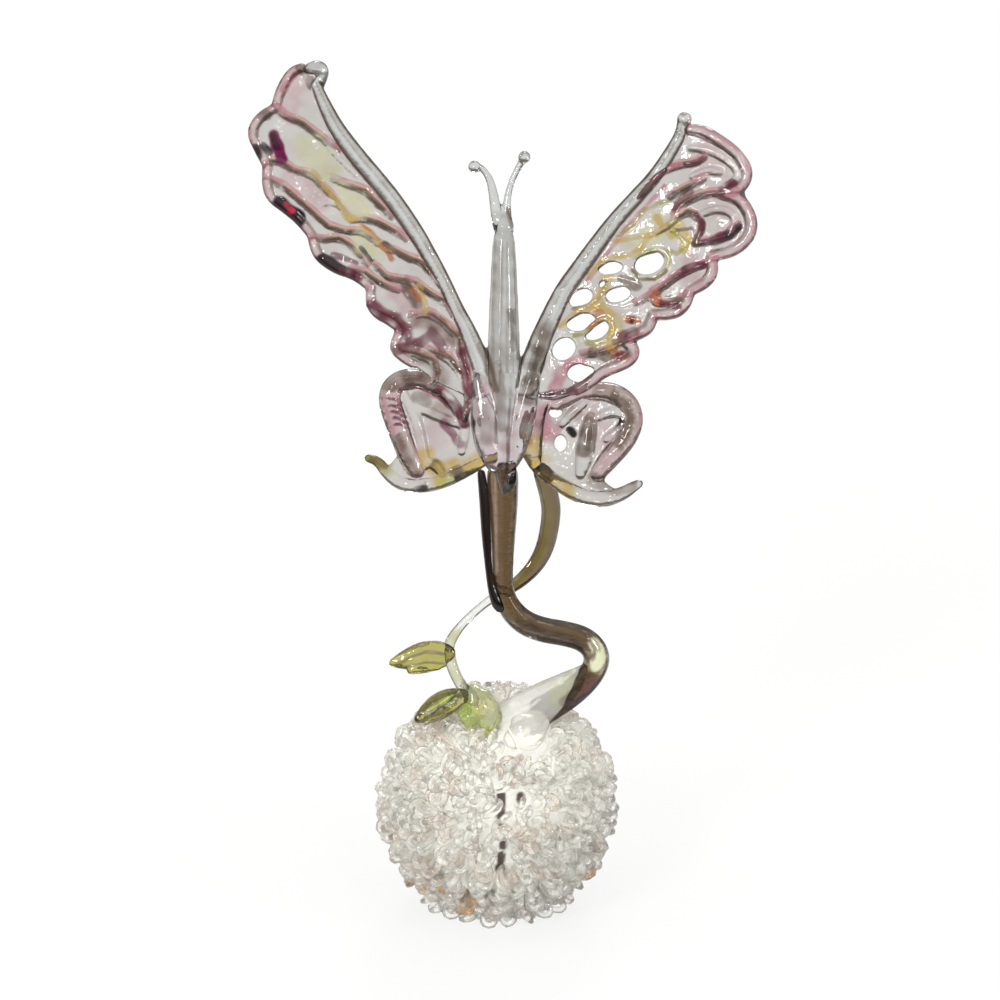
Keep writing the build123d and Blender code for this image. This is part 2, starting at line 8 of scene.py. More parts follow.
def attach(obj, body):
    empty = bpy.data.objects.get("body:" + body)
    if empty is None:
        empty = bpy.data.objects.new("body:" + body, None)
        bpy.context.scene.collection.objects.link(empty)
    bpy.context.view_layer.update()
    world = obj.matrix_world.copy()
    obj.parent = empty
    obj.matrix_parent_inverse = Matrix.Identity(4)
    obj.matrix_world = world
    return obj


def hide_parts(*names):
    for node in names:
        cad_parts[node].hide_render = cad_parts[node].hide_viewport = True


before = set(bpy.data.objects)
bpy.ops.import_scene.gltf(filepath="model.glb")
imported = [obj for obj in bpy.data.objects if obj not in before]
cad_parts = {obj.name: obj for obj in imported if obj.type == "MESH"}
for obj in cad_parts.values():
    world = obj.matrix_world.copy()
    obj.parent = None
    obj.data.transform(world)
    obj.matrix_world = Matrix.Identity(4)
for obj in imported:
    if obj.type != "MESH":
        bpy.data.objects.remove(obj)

bl_info = {
    "name": "Glass Butterfly Ornament",
    "version": (1, 0, 0),
    "blender": (4, 5, 0),
    "location": "3D View > Sidebar > Ornament",
    "description": "Torch-made glass butterfly on a stem, standing on a ball of crocheted glass",
    "category": "Add Mesh",
}

MM = 0.001

# Directions of the figure, which leans back, and the places of its ball and wing roots in mm
LEAN = math.radians(25)
ACROSS = Vector((1, 0, 0))
RISE = Vector((0, math.sin(LEAN), math.cos(LEAN)))
FRONT = Vector((0, -math.cos(LEAN), math.sin(LEAN)))
BALL = Vector((0, 0, 16.2))
ROOT = BALL + ACROSS * 1.0 + RISE * 51.2 + FRONT * 20.0


def rows(size, *numbers):
    """A table with that many numbers to a row."""
    return tuple(zip(*[iter(numbers)] * size))


def lines(*courses):
    """Lines of side and rise, each written as one run of numbers."""
    return tuple(rows(2, *course) for course in courses)


# Left forewing, from the wing roots in mm: side and rise, and a radius for the leading rod
LEFT_SPAR = rows(
    3, 27.5, 54, 0.85, 25.9, 50.4, 1.1, 24.3, 47.3, 1.3, 21.4, 43.4, 1.45, 18.4, 39.9, 1.45,
    16.1, 37.1, 1.42, 12.9, 32.5, 1.35, 10.7, 28.8, 1.2, 8.8, 25.4, 1.1, 6.9, 21.3, 1.1,
    5, 17.6, 1.3, 3.3, 13.2, 1.6, 2.2, 9, 1.3,
)
LEFT_HOOK = rows(
    3, 28.6, 56.3, 0.85, 27.6, 56.5, 1.15, 26.7, 56.3, 1.2, 26.5, 55.3, 0.95, 27.3, 53.2, 0.8,
)
LEFT_RIMS = lines(
    (29.5, 56.6, 30.9, 56, 32, 54.5, 32.9, 52.6, 33.4, 50.7),
    (33.4, 50.7, 35.4, 49.5, 36.6, 47.9, 36.8, 46.5, 36, 44.8, 34.7, 42.2),
    (34.7, 42.2, 34.7, 39.1, 34, 37.3, 32, 35.9, 29.8, 34.1, 28.2, 32),
    (28.2, 32, 27.6, 29.8, 26.8, 28.5, 24.4, 26.9, 21.9, 26.2, 19.6, 24.4),
    (19.6, 24.4, 19.6, 21.8, 18.4, 20.3, 17.1, 19.7, 15.2, 18.3),
    (15.2, 18.3, 16, 16.2, 15.9, 15.1, 14.8, 14.1, 13.2, 13.1),
)
LEFT_RIBS = lines(
    (33.7, 50.9, 31.9, 49.2, 29.8, 48.5, 28.2, 47.3, 26.8, 46.2, 24.1, 44.1),
    (35.1, 42, 34.1, 42.8, 32.5, 42.6, 30.9, 41.5, 28.4, 40.9, 27, 39.4, 25.7, 38.2, 24.1, 36.5,
     22.5, 34.1),
    (25.4, 40.3, 23.1, 39.4, 20.4, 38.5, 19.3, 37.3, 17.6, 35.7, 16.5, 34.4),
    (35, 40.4, 32.2, 39, 28.8, 36, 27.2, 34.5, 25.7, 33.2, 23.1, 32.5, 21, 32.5, 19.4, 31.5,
     17.2, 29.8),
    (22.6, 34.1, 20.4, 34.4, 18.4, 33.8, 16, 32.5, 14.4, 31.2),
    (28.4, 31.6, 26.3, 31.3, 24.1, 31.5, 22.3, 30.4, 20.9, 28.7, 20, 27.5),
    (20, 28.4, 18.4, 27, 17.1, 25.7, 14.4, 25.4, 13.5, 24.3, 12.3, 22.8),
    (17.2, 29.8, 16.2, 29.8, 14.4, 28.8, 12.3, 28.1, 11, 26.5, 9.4, 24.3),
    (22.6, 27, 20.4, 26.5, 18.4, 25.1, 16.2, 24.1, 14.6, 23.8),
    (14.4, 25.4, 13.1, 25.1, 11, 23.5, 9.1, 22.5, 7.6, 20.1),
)
LEFT_TWISTS = lines(
    (19.7, 21.8, 17.8, 20.7, 15.7, 19.7, 14.4, 18.1, 14.1, 16.6),
    (13.8, 20.1, 11.8, 20.7, 10.4, 20.4, 8.4, 18.8, 6.6, 17.1, 6.2, 14.3, 5.4, 11.5, 5.1, 8.4,
     5.7, 5),
    (15.7, 16, 14.7, 15.1, 12.8, 14.7, 10.4, 13.8, 9.8, 11.8, 10.4, 10.4),
    (13.1, 16.2, 10.9, 15.1, 8.1, 14.1, 6.3, 11.8, 5.4, 8.8),
)
LEFT_PALE_RIBS = lines(
    (27, 46.3, 24.4, 43.4, 22.3, 41.5, 20.9, 40.1),
    (27, 36.2, 25.9, 36.9, 24.4, 36.3),
    (14.6, 23.8, 13.5, 22, 13.1, 20.1, 14.1, 18.4),
)
LEFT_FILM_EDGE = rows(
    2, 27, 55.4, 28.4, 56.4, 29.7, 56, 32, 54.5, 33.2, 51.3, 35.6, 49.4, 36.6, 46.5, 34.7, 42.2,
    34.7, 39, 32.3, 35.9, 29.7, 34, 27.9, 31.6, 26.8, 28.5, 24.1, 26.8, 19.7, 24.3, 19.3, 21.8,
    16.8, 19.7, 15.3, 18.1, 15.7, 15.4, 13.5, 13.2, 9.4, 10.3, 4.7, 8.1,
)

# Right forewing, measured in the same way
RIGHT_SPAR = rows(
    3, 26.3, 48.8, 1, 25.9, 46.8, 0.9, 24.3, 44, 1, 22, 40.5, 1.1, 19.2, 37.4, 1.2, 16, 33.9, 1.25,
    12.8, 29.5, 1.4, 10.7, 26.6, 1.42, 8.6, 23.7, 1.45, 5.6, 17.3, 1.65, 4.2, 13.2, 1.9,
    3, 9.3, 1.5,
)
RIGHT_RIMS = lines(
    (27, 47.5, 29.1, 47.3, 31.2, 46, 33.4, 44.5, 35, 42.6, 35.6, 41, 35.1, 39.5, 34, 38.5,
     31.6, 38.2),
    (31.8, 38, 34.3, 37.5, 35.7, 35.6, 36.3, 33.7, 35.9, 31.8, 34.5, 30.3, 32.8, 29.4, 30.4, 28.9),
    (30.4, 28.9, 30.6, 26.6, 29.5, 25, 27.3, 23.8),
    (27.3, 23.8, 26.5, 21.8, 25.3, 20.7, 23.5, 20.4, 21.9, 20.3),
    (21.9, 20.3, 21.2, 18.4, 19.8, 17.6, 18.3, 17),
    (17.9, 16.4, 19, 15.6, 19, 14.5, 18.2, 13.5, 16.6, 12.8, 14.7, 12.1, 13.2, 11, 11.9, 10,
     10.4, 9.2),
)
RIGHT_RIBS = lines(
    (19.7, 37.5, 21.8, 40.1, 23.7, 41.6, 25.9, 42.3, 28.4, 42.6, 29.5, 43.4),
    (34.3, 38.2, 31.6, 38.2, 29, 37.9, 27, 37, 25.9, 36.3, 24.8, 34.8),
    (24.1, 37.5, 25.3, 38.1, 27.3, 39.2, 29.5, 40.4),
    (34.3, 33.2, 32.9, 31.9, 30.6, 31.2, 27.9, 30.7),
    (27.9, 30.7, 28.8, 32.2, 29.1, 33.8, 28.2, 35, 26.9, 35.4, 25.6, 34.7, 24.1, 33.4, 22.2, 32.3),
    (30.7, 28.4, 28.8, 27.5, 27.3, 26.9, 25.3, 25.9, 23.5, 24.5, 21.5, 23.1, 19.4, 22),
    (27, 23.2, 25.6, 22.3, 24.1, 21.9, 22.2, 22, 21.5, 23.1),
    (20.1, 17.3, 18.2, 16.5, 16.3, 15.7, 14.4, 15, 12.6, 14.6, 11.4, 14.5),
)
RIGHT_PALE_RIBS = lines(
    (27.3, 44.8, 30, 44.5, 32.6, 43.1, 34.3, 41.5, 34, 39.8, 32, 39.1),
    (27.5, 40.6, 30, 41.6, 31.6, 41.2),
    (28, 34.6, 31, 36, 33.4, 35.4, 34, 33.6, 32.8, 32.6),
)
RIGHT_LACE = lines(
    (16.6, 31.9, 18.8, 33.4, 20.7, 35.7, 22.9, 36.8, 24.7, 37),
    (16.2, 31.2, 18.5, 31.6, 21.2, 31.9, 22.6, 32.2, 24.1, 33.4),
    (24.1, 33.4, 25.9, 31.6, 27, 30.7, 25.3, 29.3, 24.1, 29.8),
    (21.2, 31.9, 20, 30.1, 18.5, 29.1, 16.5, 29, 14.4, 28.1, 12.6, 26.3),
    (19.1, 28.7, 21.2, 29.7, 23.5, 30, 24.3, 28.4, 23.7, 26.8, 22.2, 25.6, 20, 25.6, 18.8, 26.9),
    (12.2, 25.3, 14.1, 25.9, 16.8, 25.9, 18.8, 25.4, 20.3, 24.5),
    (10.1, 21.3, 12.3, 21.5, 14, 22.9, 15, 24.7),
    (14.1, 24, 15, 21.9, 16.8, 21.3, 18.8, 21.8, 20, 23.2, 19.4, 24.8),
    (8.2, 18.7, 10.4, 20.7, 12.6, 21.2, 14.6, 21.9),
    (10.4, 17.4, 11.8, 17.6, 13.2, 19.1, 15, 20.1, 16.2, 19, 15.3, 16.9, 13.2, 16, 12.2, 16.3),
    (16.2, 19.6, 17.9, 20.1, 20, 19.6, 21.8, 19.6),
    (10.6, 14.1, 12.6, 14.6, 15.6, 15.1, 17.9, 15.4),
    (7.6, 9.8, 8.5, 11.5, 9.4, 13.1, 10.7, 13.8, 12.9, 12.9, 15.9, 12.8),
    (11.8, 9.8, 13.8, 11, 15.9, 12.3),
    (6.2, 14.6, 6.9, 13, 7.4, 11.3),
)
RIGHT_TWIST = rows(2, 5.6, 8.4, 7.2, 8.4, 8.4, 8.7, 9.9, 9.1)
RIGHT_FILM_EDGE = rows(
    2, 27.3, 47.5, 31.5, 46, 35.1, 42.6, 35, 39, 35.9, 35.4, 35.9, 31.6, 32.9, 29.3, 30.6, 28.4,
    29.7, 24.8, 27, 23.2, 25.3, 20.7, 22.2, 20.1, 20.9, 18.1, 18.8, 16, 18.8, 14, 15.9, 12.5,
    11.9, 9.8, 7.6, 9.3,
)
# Open holes of the lace: side, rise, half length, half height, tilt in degrees
RIGHT_HOLES = rows(
    5, 15.6, 27.2, 1.8, 0.85, 8, 21.3, 27.9, 2.2, 1.5, 22, 14.7, 24.8, 0.75, 0.5, 10,
    11.3, 22.8, 1.8, 1.2, 28, 16.7, 23.3, 1.9, 1, 14, 11.3, 19.3, 2.2, 1.2, 10,
    13.6, 18.1, 1.9, 1.2, 28, 8.8, 15.4, 1.8, 1.5, 40, 11.3, 11.9, 2, 1.3, 8,
)

# Hindwing rods: side, rise and the share of the hindwing radius; folds, films and holes as above
LEFT_HIND_LOOP = rows(
    3, 9.6, 9.6, 0.6, 12.3, 11.2, 0.9, 14.8, 11, 1, 16.5, 9.7, 1.05, 16.8, 7.8, 1.08, 16, 5.1, 1.05,
    15.1, 2.5, 1, 14.1, 0, 1, 12.8, -2.5, 0.8,
)
LEFT_HIND_RIM = rows(
    3, 19.8, -0.6, 0.42, 18.4, -1, 0.5, 17.1, -2.8, 0.6, 15.1, -4.4, 0.68, 12.3, -4.7, 0.72,
    9.3, -4.1, 0.72, 6.5, -2.9, 0.68, 3.5, -1.3, 0.6, 1.6, 0, 0.4,
)
LEFT_HIND_FOLDS = lines(
    (14.7, 9, 13.7, 6.9, 12.6, 4.3, 11.9, 0.7, 11.4, -1.6),
    (13.1, 7.1, 10, 5.7, 6.5, 4.4),
    (10.9, 9.8, 8.5, 9, 6.8, 6.6, 5.6, 3.7, 6.2, 0.4),
    (11.2, -1, 10, -1.6, 9.1, -2.8),
)
LEFT_HIND_FILM = rows(
    2, 10.6, 10.7, 14.8, 10.4, 17.1, 8.1, 16.2, 4.4, 14.7, 0.7, 17.3, -2.2, 15, -4.6, 9.4, -4.3,
    3.5, -1.6, 2.9, 5.1, 5.6, 8.8,
)
RIGHT_HIND_LOOP = rows(
    3, 7.6, 7.2, 0.6, 11.2, 9.1, 0.75, 13.8, 9.4, 0.85, 16.3, 9, 0.95, 18.2, 7.5, 1, 19, 5.4, 1.02,
    18.5, 3.2, 1, 17.2, 1.2, 1, 15.3, -0.9, 0.95, 13.8, -2.8, 0.8,
)
RIGHT_HIND_RIM = rows(
    3, 2.4, 1.2, 0.4, 3.2, 0.4, 0.5, 4.7, -1.9, 0.6, 7.1, -3.7, 0.68, 10, -5.6, 0.76,
    12.6, -6.5, 0.8, 15.1, -6.6, 0.78, 17.6, -5.7, 0.66, 19.1, -4.7, 0.52, 19.8, -4.3, 0.42,
)
RIGHT_HIND_ROOT = rows(3, 6.5, 8.4, 0.5, 4.9, 6.9, 0.9, 4, 4.4, 1.1, 3.8, 1, 1.1, 4.7, -1.6, 0.6)
RIGHT_HIND_PLEAT = rows(3, 12.8, 5.4, 0.5, 12.3, 2.5, 0.85, 11.8, -0.4, 0.85, 11.2, -2.8, 0.5)
RIGHT_HIND_FOLDS = lines(
    (13.8, 5.4, 15.6, 6.2, 17.3, 6, 17.9, 4.9, 16.8, 3.4, 15, 2.2),
    (8.5, 4.4, 10.3, 6.3, 11.8, 7.5),
)
RIGHT_HIND_FILM = rows(
    2, 5.3, 7.5, 9.1, 8.4, 13.8, 9.3, 18.5, 6.9, 18.8, 3.7, 15.6, -0.7, 14.7, -4, 17.1, -5.7,
    12.6, -6.6, 6.8, -3.7, 3.5, 0,
)
RIGHT_HIND_HOLES = rows(5, 7.6, 6.4, 1.1, 1, 60, 8.3, 1.6, 0.9, 1.2, 0)

# Body, antennae and root drops: side, rise from the wing roots, radius in mm
BODY_LINE = rows(
    3, 0, 31.6, 1.6, 0, 29.5, 1.8, 0, 25, 2, 0, 18, 2.35, 0, 10, 2.5, 0, 3, 2.2, 0, -3, 1.4,
    0.2, -5.4, 0.7,
)
BODY_DROP = rows(3, 1, 1, 0.7, 1, -2.4, 0.9, 1, -4.2, 0.95, 1, -5, 0.5)
HEAD_LINE = rows(3, 0.1, 33, 1.5, 0.1, 34.2, 1.3, 0.2, 35.2, 0.7)
LEFT_ANTENNA = rows(
    3, -0.7, 33.2, 0.95, -1.1, 35.3, 0.9, -1.5, 38, 0.75, -2, 40.2, 0.6, -2.9, 41.6, 0.5,
    -3.7, 42.2, 0.5, -4.3, 42.1, 0.6,
)
RIGHT_ANTENNA = rows(
    3, 0.5, 33.2, 0.9, 0.4, 35.3, 0.75, 0.5, 37.5, 0.58, 1, 39.6, 0.5, 1.8, 41.4, 0.5,
    2.6, 42.8, 0.55, 3, 43.5, 0.6,
)
LEFT_ROOT = rows(
    3, 3.7, 11, 1.1, 3.2, 8.4, 1.7, 2.8, 5.2, 2.25, 2.4, 2.2, 2.2, 1.9, 0.2, 1.9, 1.4, -1.2, 1.5,
)
RIGHT_ROOT = rows(
    3, 4.2, 11, 1.3, 3.4, 8.4, 1.7, 2.7, 5.2, 2, 2, 2.2, 1.9, 1.4, 0.2, 1.7, 0.9, -1.2, 1.4,
)

# Stem, vine, leaves and welds: side, rise and front from the ball's centre, radius in mm
STEM_LINE = rows(
    4, 0.8, 48.2, 17.6, 2.4, 0.85, 46.4, 17.4, 2.35, 0.98, 44, 17.2, 2.15, 0.9, 39.9, 16.8, 1.9,
    0.8, 34.8, 16.2, 1.6, 0.9, 31.4, 15.7, 1.5, 1.7, 28.8, 15, 1.75, 3.7, 26.6, 14.1, 1.9,
    6.6, 25.4, 13, 1.95, 10.1, 24.9, 11.8, 1.95, 13.3, 23.9, 10.8, 1.95, 15, 21.4, 10, 1.95,
    13.8, 18.6, 9.4, 1.95, 11, 15.9, 8.5, 2, 7.4, 13.6, 7.4, 2, 4.4, 11.3, 6.4, 1.8,
)
TRAIL_LINE = rows(
    4, -2.3, 48.4, 18.2, 0.65, -1.8, 44.5, 17.9, 0.85, -1.6, 39.5, 17.5, 0.75, -1.3, 35, 17, 0.55,
    -0.8, 31.6, 16.6, 0.65, 0, 29.4, 16.2, 0.95, 0.4, 28.7, 16, 0.8,
)
VINE_LINE = rows(
    4, 6.6, 48.6, 18.4, 1.4, 7.6, 45.6, 16.2, 1.5, 8.1, 42.5, 14.4, 1.5, 6.9, 36.4, 12.4, 1.4,
    3.4, 32.3, 11.2, 1.05, -1, 30, 11.2, 0.65, -5.1, 26.4, 11.2, 0.65, -6.9, 23.8, 10.7, 0.85,
    -7, 22.8, 10.6, 0.8,
)
STALK_LINE = rows(
    4, -7, 22.2, 10.6, 0.95, -6.8, 20.5, 10.6, 0.9, -5.7, 17.9, 10.4, 0.85, -4.2, 15.8, 9.9, 1,
    -3.3, 14.8, 9.6, 1.2,
)
UPPER_LEAF = rows(
    4, -7.5, 22, 10.8, 1.5, -8.6, 22, 11, 2, -10.9, 21.7, 11.3, 2.15, -13.4, 21, 11.7, 1.6,
    -15.2, 20.6, 12, 0.8, -15.5, 20.5, 12, 0.5,
)
UPPER_VEINS = lines(
    (-7.6, 22.6, -10.6, 22.9, -13, 22, -15.3, 20.8),
    (-7.6, 21.2, -10.4, 21.4, -13, 20.8, -15.3, 20.6),
    (-8.6, 20, -10.8, 19.5, -12.7, 19.4),
    (-7.8, 20.4, -10.4, 19.9, -12.4, 19.8),
)
LOWER_LEAF = rows(
    4, -5.2, 15.6, 10.4, 1.3, -6.8, 15.1, 10.9, 2, -8.8, 14, 11.3, 2.1, -10.6, 12.9, 11.8, 1.5,
    -11.5, 12.4, 12, 0.8,
)
LOWER_VEINS = lines(
    (-5.8, 16.4, -8, 15.6, -10, 14.2, -11.4, 12.6),
    (-6, 14.4, -8, 13.2, -10, 12.4),
)
# The seat swells over the ball and thins out along the stem
SEAT_LINE = rows(
    4, 1.5, 11.5, 7.4, 2.9, 4, 13, 7.9, 3.3, 7, 14.9, 8.2, 3, 9.8, 16.9, 8.6, 2.3, 12, 18.7, 9, 1.4,
    13, 19.8, 9.1, 0.8,
)
DROP_LINE = rows(
    4, 5.8, 11.7, 10.6, 2.1, 4.5, 10.6, 12.2, 3.1, 3.4, 9.9, 12.8, 2.9, 2.6, 9.5, 12.8, 1.8,
)
KNOT_LINES = (
    rows(4, -3.4, 15.6, 9.5, 2, -2.6, 13.4, 9.1, 3.2, -1.6, 11.6, 8.4, 3.1, -1, 10.4, 7.9, 2),
    rows(4, -4.6, 13.4, 10.6, 1.4, -3.8, 12.4, 11.2, 1.6, -3.4, 11.2, 11.2, 1.2),
    rows(4, -2, 15.4, 10.4, 1.5, -1.4, 13.8, 11, 1.7, -1.2, 12.4, 11.2, 1.3),
    rows(4, -1.9, 11.6, 11.2, 1, -1.4, 11, 11.6, 1.2, -1.2, 10.4, 11.4, 0.9),
)

# Slits in the front of the ball: side and the rise of the two ends
SLITS = rows(3, 0.6, 1.2, -2.1, 3.4, 1.1, 0.6, 0.8, -5.4, -6.2, 0.5, -7.8, -8.4, 0.4, -9.5, -9.7)

# Each glass: its clear colour and the edge colour of the painted shade where it is seen at a slant,
# then what differs from the usual values of glass()
GLASSES = {
    "wing glass": dict(clear="clear", edge="edge_shade", edge_width=1.3, cloud=0.16, cloud_size=170,
                       ripple=0.5, ripple_size=620),
    "body glass": dict(clear="pane", edge="edge_shade", edge_width=1.9, cloud=0.1, cloud_size=420,
                       ripple=0.25, ripple_size=700),
    "stem glass": dict(clear="pure", edge="umber", edge_width=1.2, cloud=0.12, cloud_size=500,
                       ripple=0.3, ripple_size=1100, stretch=(0.3, 0.6, 1.6)),
    "dark trail glass": dict(clear="night", edge="umber", edge_width=0.9, ripple=0.1,
                             stained_and_shaded=False),
    "vine glass": dict(clear="pure", edge="umber", edge_width=1.0),
    "leaf glass": dict(clear="pure", edge="umber", edge_width=1.6, cloud=0.12, cloud_size=600,
                       ripple=0.5, ripple_size=700),
    "milky glass": dict(clear="snow", edge="clear", cloud=0.2, cloud_size=500, ripple=0.8,
                        ripple_size=700, roughness=0.1, transmission=0.6, bend=1.35, shadow=0.2),
    "drop glass": dict(clear="snow", edge="haze", edge_width=2.6, cloud=0.06, cloud_size=400,
                       ripple=0.5, ripple_size=500, transmission=0.8, bend=1.33, shadow=0.1),
    "knot glass": dict(clear="moss", edge="leaf", cloud=0.15, cloud_size=500, ripple=0.8,
                       ripple_size=700, roughness=0.08, transmission=0.8),
    "loop glass": dict(clear="snow", edge="haze", edge_width=2.7, ripple=0.1, ripple_size=900,
                       transmission=0.85, bend=1.38, shadow=0.1),
    "core glass": dict(clear="cream", edge="cream", ripple=1.0, ripple_size=900, roughness=0.25,
                       transmission=0.0, coat=0.5),
}


def length_property(title, words, value):
    return bpy.props.FloatProperty(name=title, description=words, default=value * MM, unit="LENGTH")


def colour_property(title, words, value):
    return bpy.props.FloatVectorProperty(
        name=title, description=words, default=value, subtype="COLOR", size=3, min=0, max=1,
    )


class OrnamentSizes(bpy.types.PropertyGroup):
    """Sizes of the glass trails and loops."""

    rim_radius: length_property("Rim radius", "Radius of the scalloped wing rims", 0.72)
    rib_radius: length_property("Rib radius", "Radius of the trails across the wings", 0.42)
    lace_radius: length_property("Lace radius", "Radius of the trails round the open holes", 0.48)
    spar_scale: bpy.props.FloatProperty(
        name="Spar scale", description="Thickness of the leading rods beside the real ones",
        default=1.0,
    )
    hind_radius: length_property("Hindwing radius", "Radius of the folded hindwing rods", 1.6)
    film_thickness: length_property("Film thickness", "Thickness of the film between trails", 0.75)
    melt_grain: length_property("Melt grain", "Finest detail left when trails melt together", 0.22)
    core_radius: length_property("Core radius", "Radius of the fused ball under the loops", 14.4)
    loop_height: length_property("Loop height", "Height of one crocheted loop over the core", 3.2)
    loop_width: length_property("Loop width", "Width of one crocheted loop", 2.4)
    loop_wire: length_property("Loop wire", "Radius of the glass thread of a loop", 0.41)
    loop_count: bpy.props.IntProperty(
        name="Loop count", description="Places for loops on a whole ball", default=1300, min=50,
    )


class OrnamentColours(bpy.types.PropertyGroup):
    """Colours of the glasses, of the stains in them and of the painted shade and highlights."""

    # Pane and clear are grey as painted shade for the dim surroundings seen through clear glass
    pane: colour_property("Pane", "Clear glass of body and leading rods, greyed as painted shade", (0.65, 0.67, 0.66))
    clear: colour_property("Clear", "Clear glass of the wings, greyed as painted shade", (0.62, 0.595, 0.57))
    pure: colour_property("Pure", "Clearest glass, under the stains of stem, vine and leaves",
                          (0.88, 0.90, 0.87))
    # Painted shade that clear glass takes on where it is seen at a slant
    edge_shade: colour_property("Edge shade", "Painted shade on slanted edges of clear glass", (0.13, 0.105, 0.085))
    # Painted shade: the brown-grey darkness inside thick rods and at the slanted edges of loops and
    # drop
    haze: colour_property("Haze", "Brown painted shade inside thick rods and on slanted edges", (0.50, 0.43, 0.38))
    pink: colour_property("Pink", "Pink wash on the rims", (0.78, 0.36, 0.45))
    peach: colour_property("Peach", "Lit edges of the ribs", (1.0, 0.72, 0.55))
    burgundy: colour_property("Burgundy", "Deep red patches", (0.16, 0.008, 0.045))
    magenta: colour_property("Magenta", "Purple-red patches", (0.24, 0.002, 0.10))
    red: colour_property("Red", "Bright red heart of a patch", (1.0, 0.015, 0.10))
    plum: colour_property("Plum", "Near black plum", (0.025, 0.004, 0.014))
    gold: colour_property("Gold", "Gold stain of the lace", (0.88, 0.66, 0.20))
    orange: colour_property("Orange", "Orange stain", (0.72, 0.20, 0.06))
    # Brown is the colour of brown trails and also painted shade along the ribs and inside thick
    # rods
    brown: colour_property("Brown", "Brown trails and painted shade", (0.20, 0.125, 0.085))
    lime: colour_property("Lime", "Pale green panes", (0.98, 1.0, 0.70))
    olive: colour_property("Olive", "Olive of leaves and wing tail", (0.55, 0.52, 0.10))
    green: colour_property("Green", "Bright green of the knot", (0.70, 0.86, 0.12))
    moss: colour_property("Moss", "Pale green glass of the knot", (0.84, 0.88, 0.62))
    leaf: colour_property("Leaf", "Glass of the leaves", (0.56, 0.50, 0.24))
    # Painted shade: the brown of the ground seen through stem and vine, also beside leaf veins and
    # on the seat
    amber: colour_property("Amber", "Brown painted shade of stem and vine", (0.15, 0.09, 0.04))
    # Umber is painted shade at dark rod edges, over glass knobs and in the ball's slits, and the
    # colour of dark fine lines
    umber: colour_property("Umber", "Painted shade on edges, and dark fine lines", (0.07, 0.045, 0.03))
    night: colour_property("Night", "Near black glass of the thin trail", (0.008, 0.004, 0.004))
    # Painted highlight: the pale streaks along the rods
    milk: colour_property("Milk", "Painted highlights along the rods", (0.93, 0.935, 0.90))
    cream: colour_property("Cream", "Fused glass of the ball under its loops", (0.86, 0.86, 0.82))
    snow: colour_property("Snow", "White glass of loops, seat and drop", (0.99, 0.985, 0.95))


def deselect_all():
    if bpy.context.object and bpy.context.object.mode != "OBJECT":
        bpy.ops.object.mode_set(mode="OBJECT")
    bpy.ops.object.select_all(action="DESELECT")


def select_only(*pieces):
    deselect_all()
    for piece in pieces:
        piece.select_set(True)
    bpy.context.view_layer.objects.active = pieces[0]


def apply_modifier(piece, kind, **settings):
    """Gives a piece one modifier and applies it."""
    select_only(piece)
    modifier = piece.modifiers.new(kind.title(), kind)
    for key, value in settings.items():
        setattr(modifier, key, value)
    bpy.ops.object.modifier_apply(modifier=modifier.name)


def apply_placing():
    bpy.ops.object.transform_apply(location=True, rotation=True, scale=True)
    return bpy.context.object


class Plane:
    """A plane that leans with the figure: side, rise and front in mm from a place on it."""

    def __init__(self, middle, hand=1, dihedral=0, front=0.0):
        self.middle = middle
        self.hand = hand
        self.slope = math.tan(math.radians(dihedral))
        self.front = front

    def spot(self, side, rise, front=0.0):
        ahead = side * self.slope + self.front + front
        return (self.middle + ACROSS * self.hand * side + RISE * rise + FRONT * ahead) * MM

    def flat(self, places):
        """Side and rise in mm of places in metres."""
        away = places / MM - np.array(self.middle)
        return np.stack([self.hand * (away @ np.array(ACROSS)), away @ np.array(RISE)], axis=1)


LEFT_FORE = Plane(ROOT, -1, dihedral=14)
RIGHT_FORE = Plane(ROOT, 1, dihedral=14)
LEFT_HIND = Plane(ROOT, -1, dihedral=8, front=-1.3)
RIGHT_HIND = Plane(ROOT, 1, dihedral=8, front=-1.3)
BODY = Plane(ROOT, front=1.3)
FIGURE = Plane(BALL)

# Domes at the ends of a rod: how far out and how thick, as shares of the end's radius
DOME = ((0.55, 0.85), (0.95, 0.3))


def rounded_ends(spots, radii):
    """The line with a domed end beyond its first and its last spot."""
    spots = [Vector(spot) for spot in spots]
    caps = []
    for end, inner in ((0, 1), (-1, -2)):
        away = (spots[end] - spots[inner]).normalized() * radii[end]
        caps.append([(spots[end] + away * reach, radii[end] * share) for reach, share in DOME])
    return zip(*reversed(caps[0]), *zip(spots, radii), *caps[1])


def draw_trail(spots, radii, closed=False, steps=6, roundness=3):
    """A trail of glass along a smooth line through the spots, with a radius at each."""
    if not closed:
        spots, radii = rounded_ends(spots, radii)
    deselect_all()
    bpy.ops.curve.primitive_nurbs_path_add()
    curve = bpy.context.object.data
    curve.splines.clear()
    line = curve.splines.new("NURBS")
    line.points.add(len(spots) - 1)
    for point, spot, radius in zip(line.points, spots, radii):
        point.co = (*spot, 1)
        point.radius = radius
    line.order_u = 3
    line.use_endpoint_u = not closed
    line.use_cyclic_u = closed
    line.resolution_u = steps
    curve.bevel_depth = 1
    curve.bevel_resolution = roundness
    curve.use_fill_caps = True
    bpy.ops.object.convert(target="MESH")
    return bpy.context.object


def rod(plane, line, unit=MM, *front):
    """A trail of glass in a plane: the last number of each place is its radius in units."""
    return draw_trail([plane.spot(*place[:-1], *front) for place in line],
                      [place[-1] * unit for place in line])


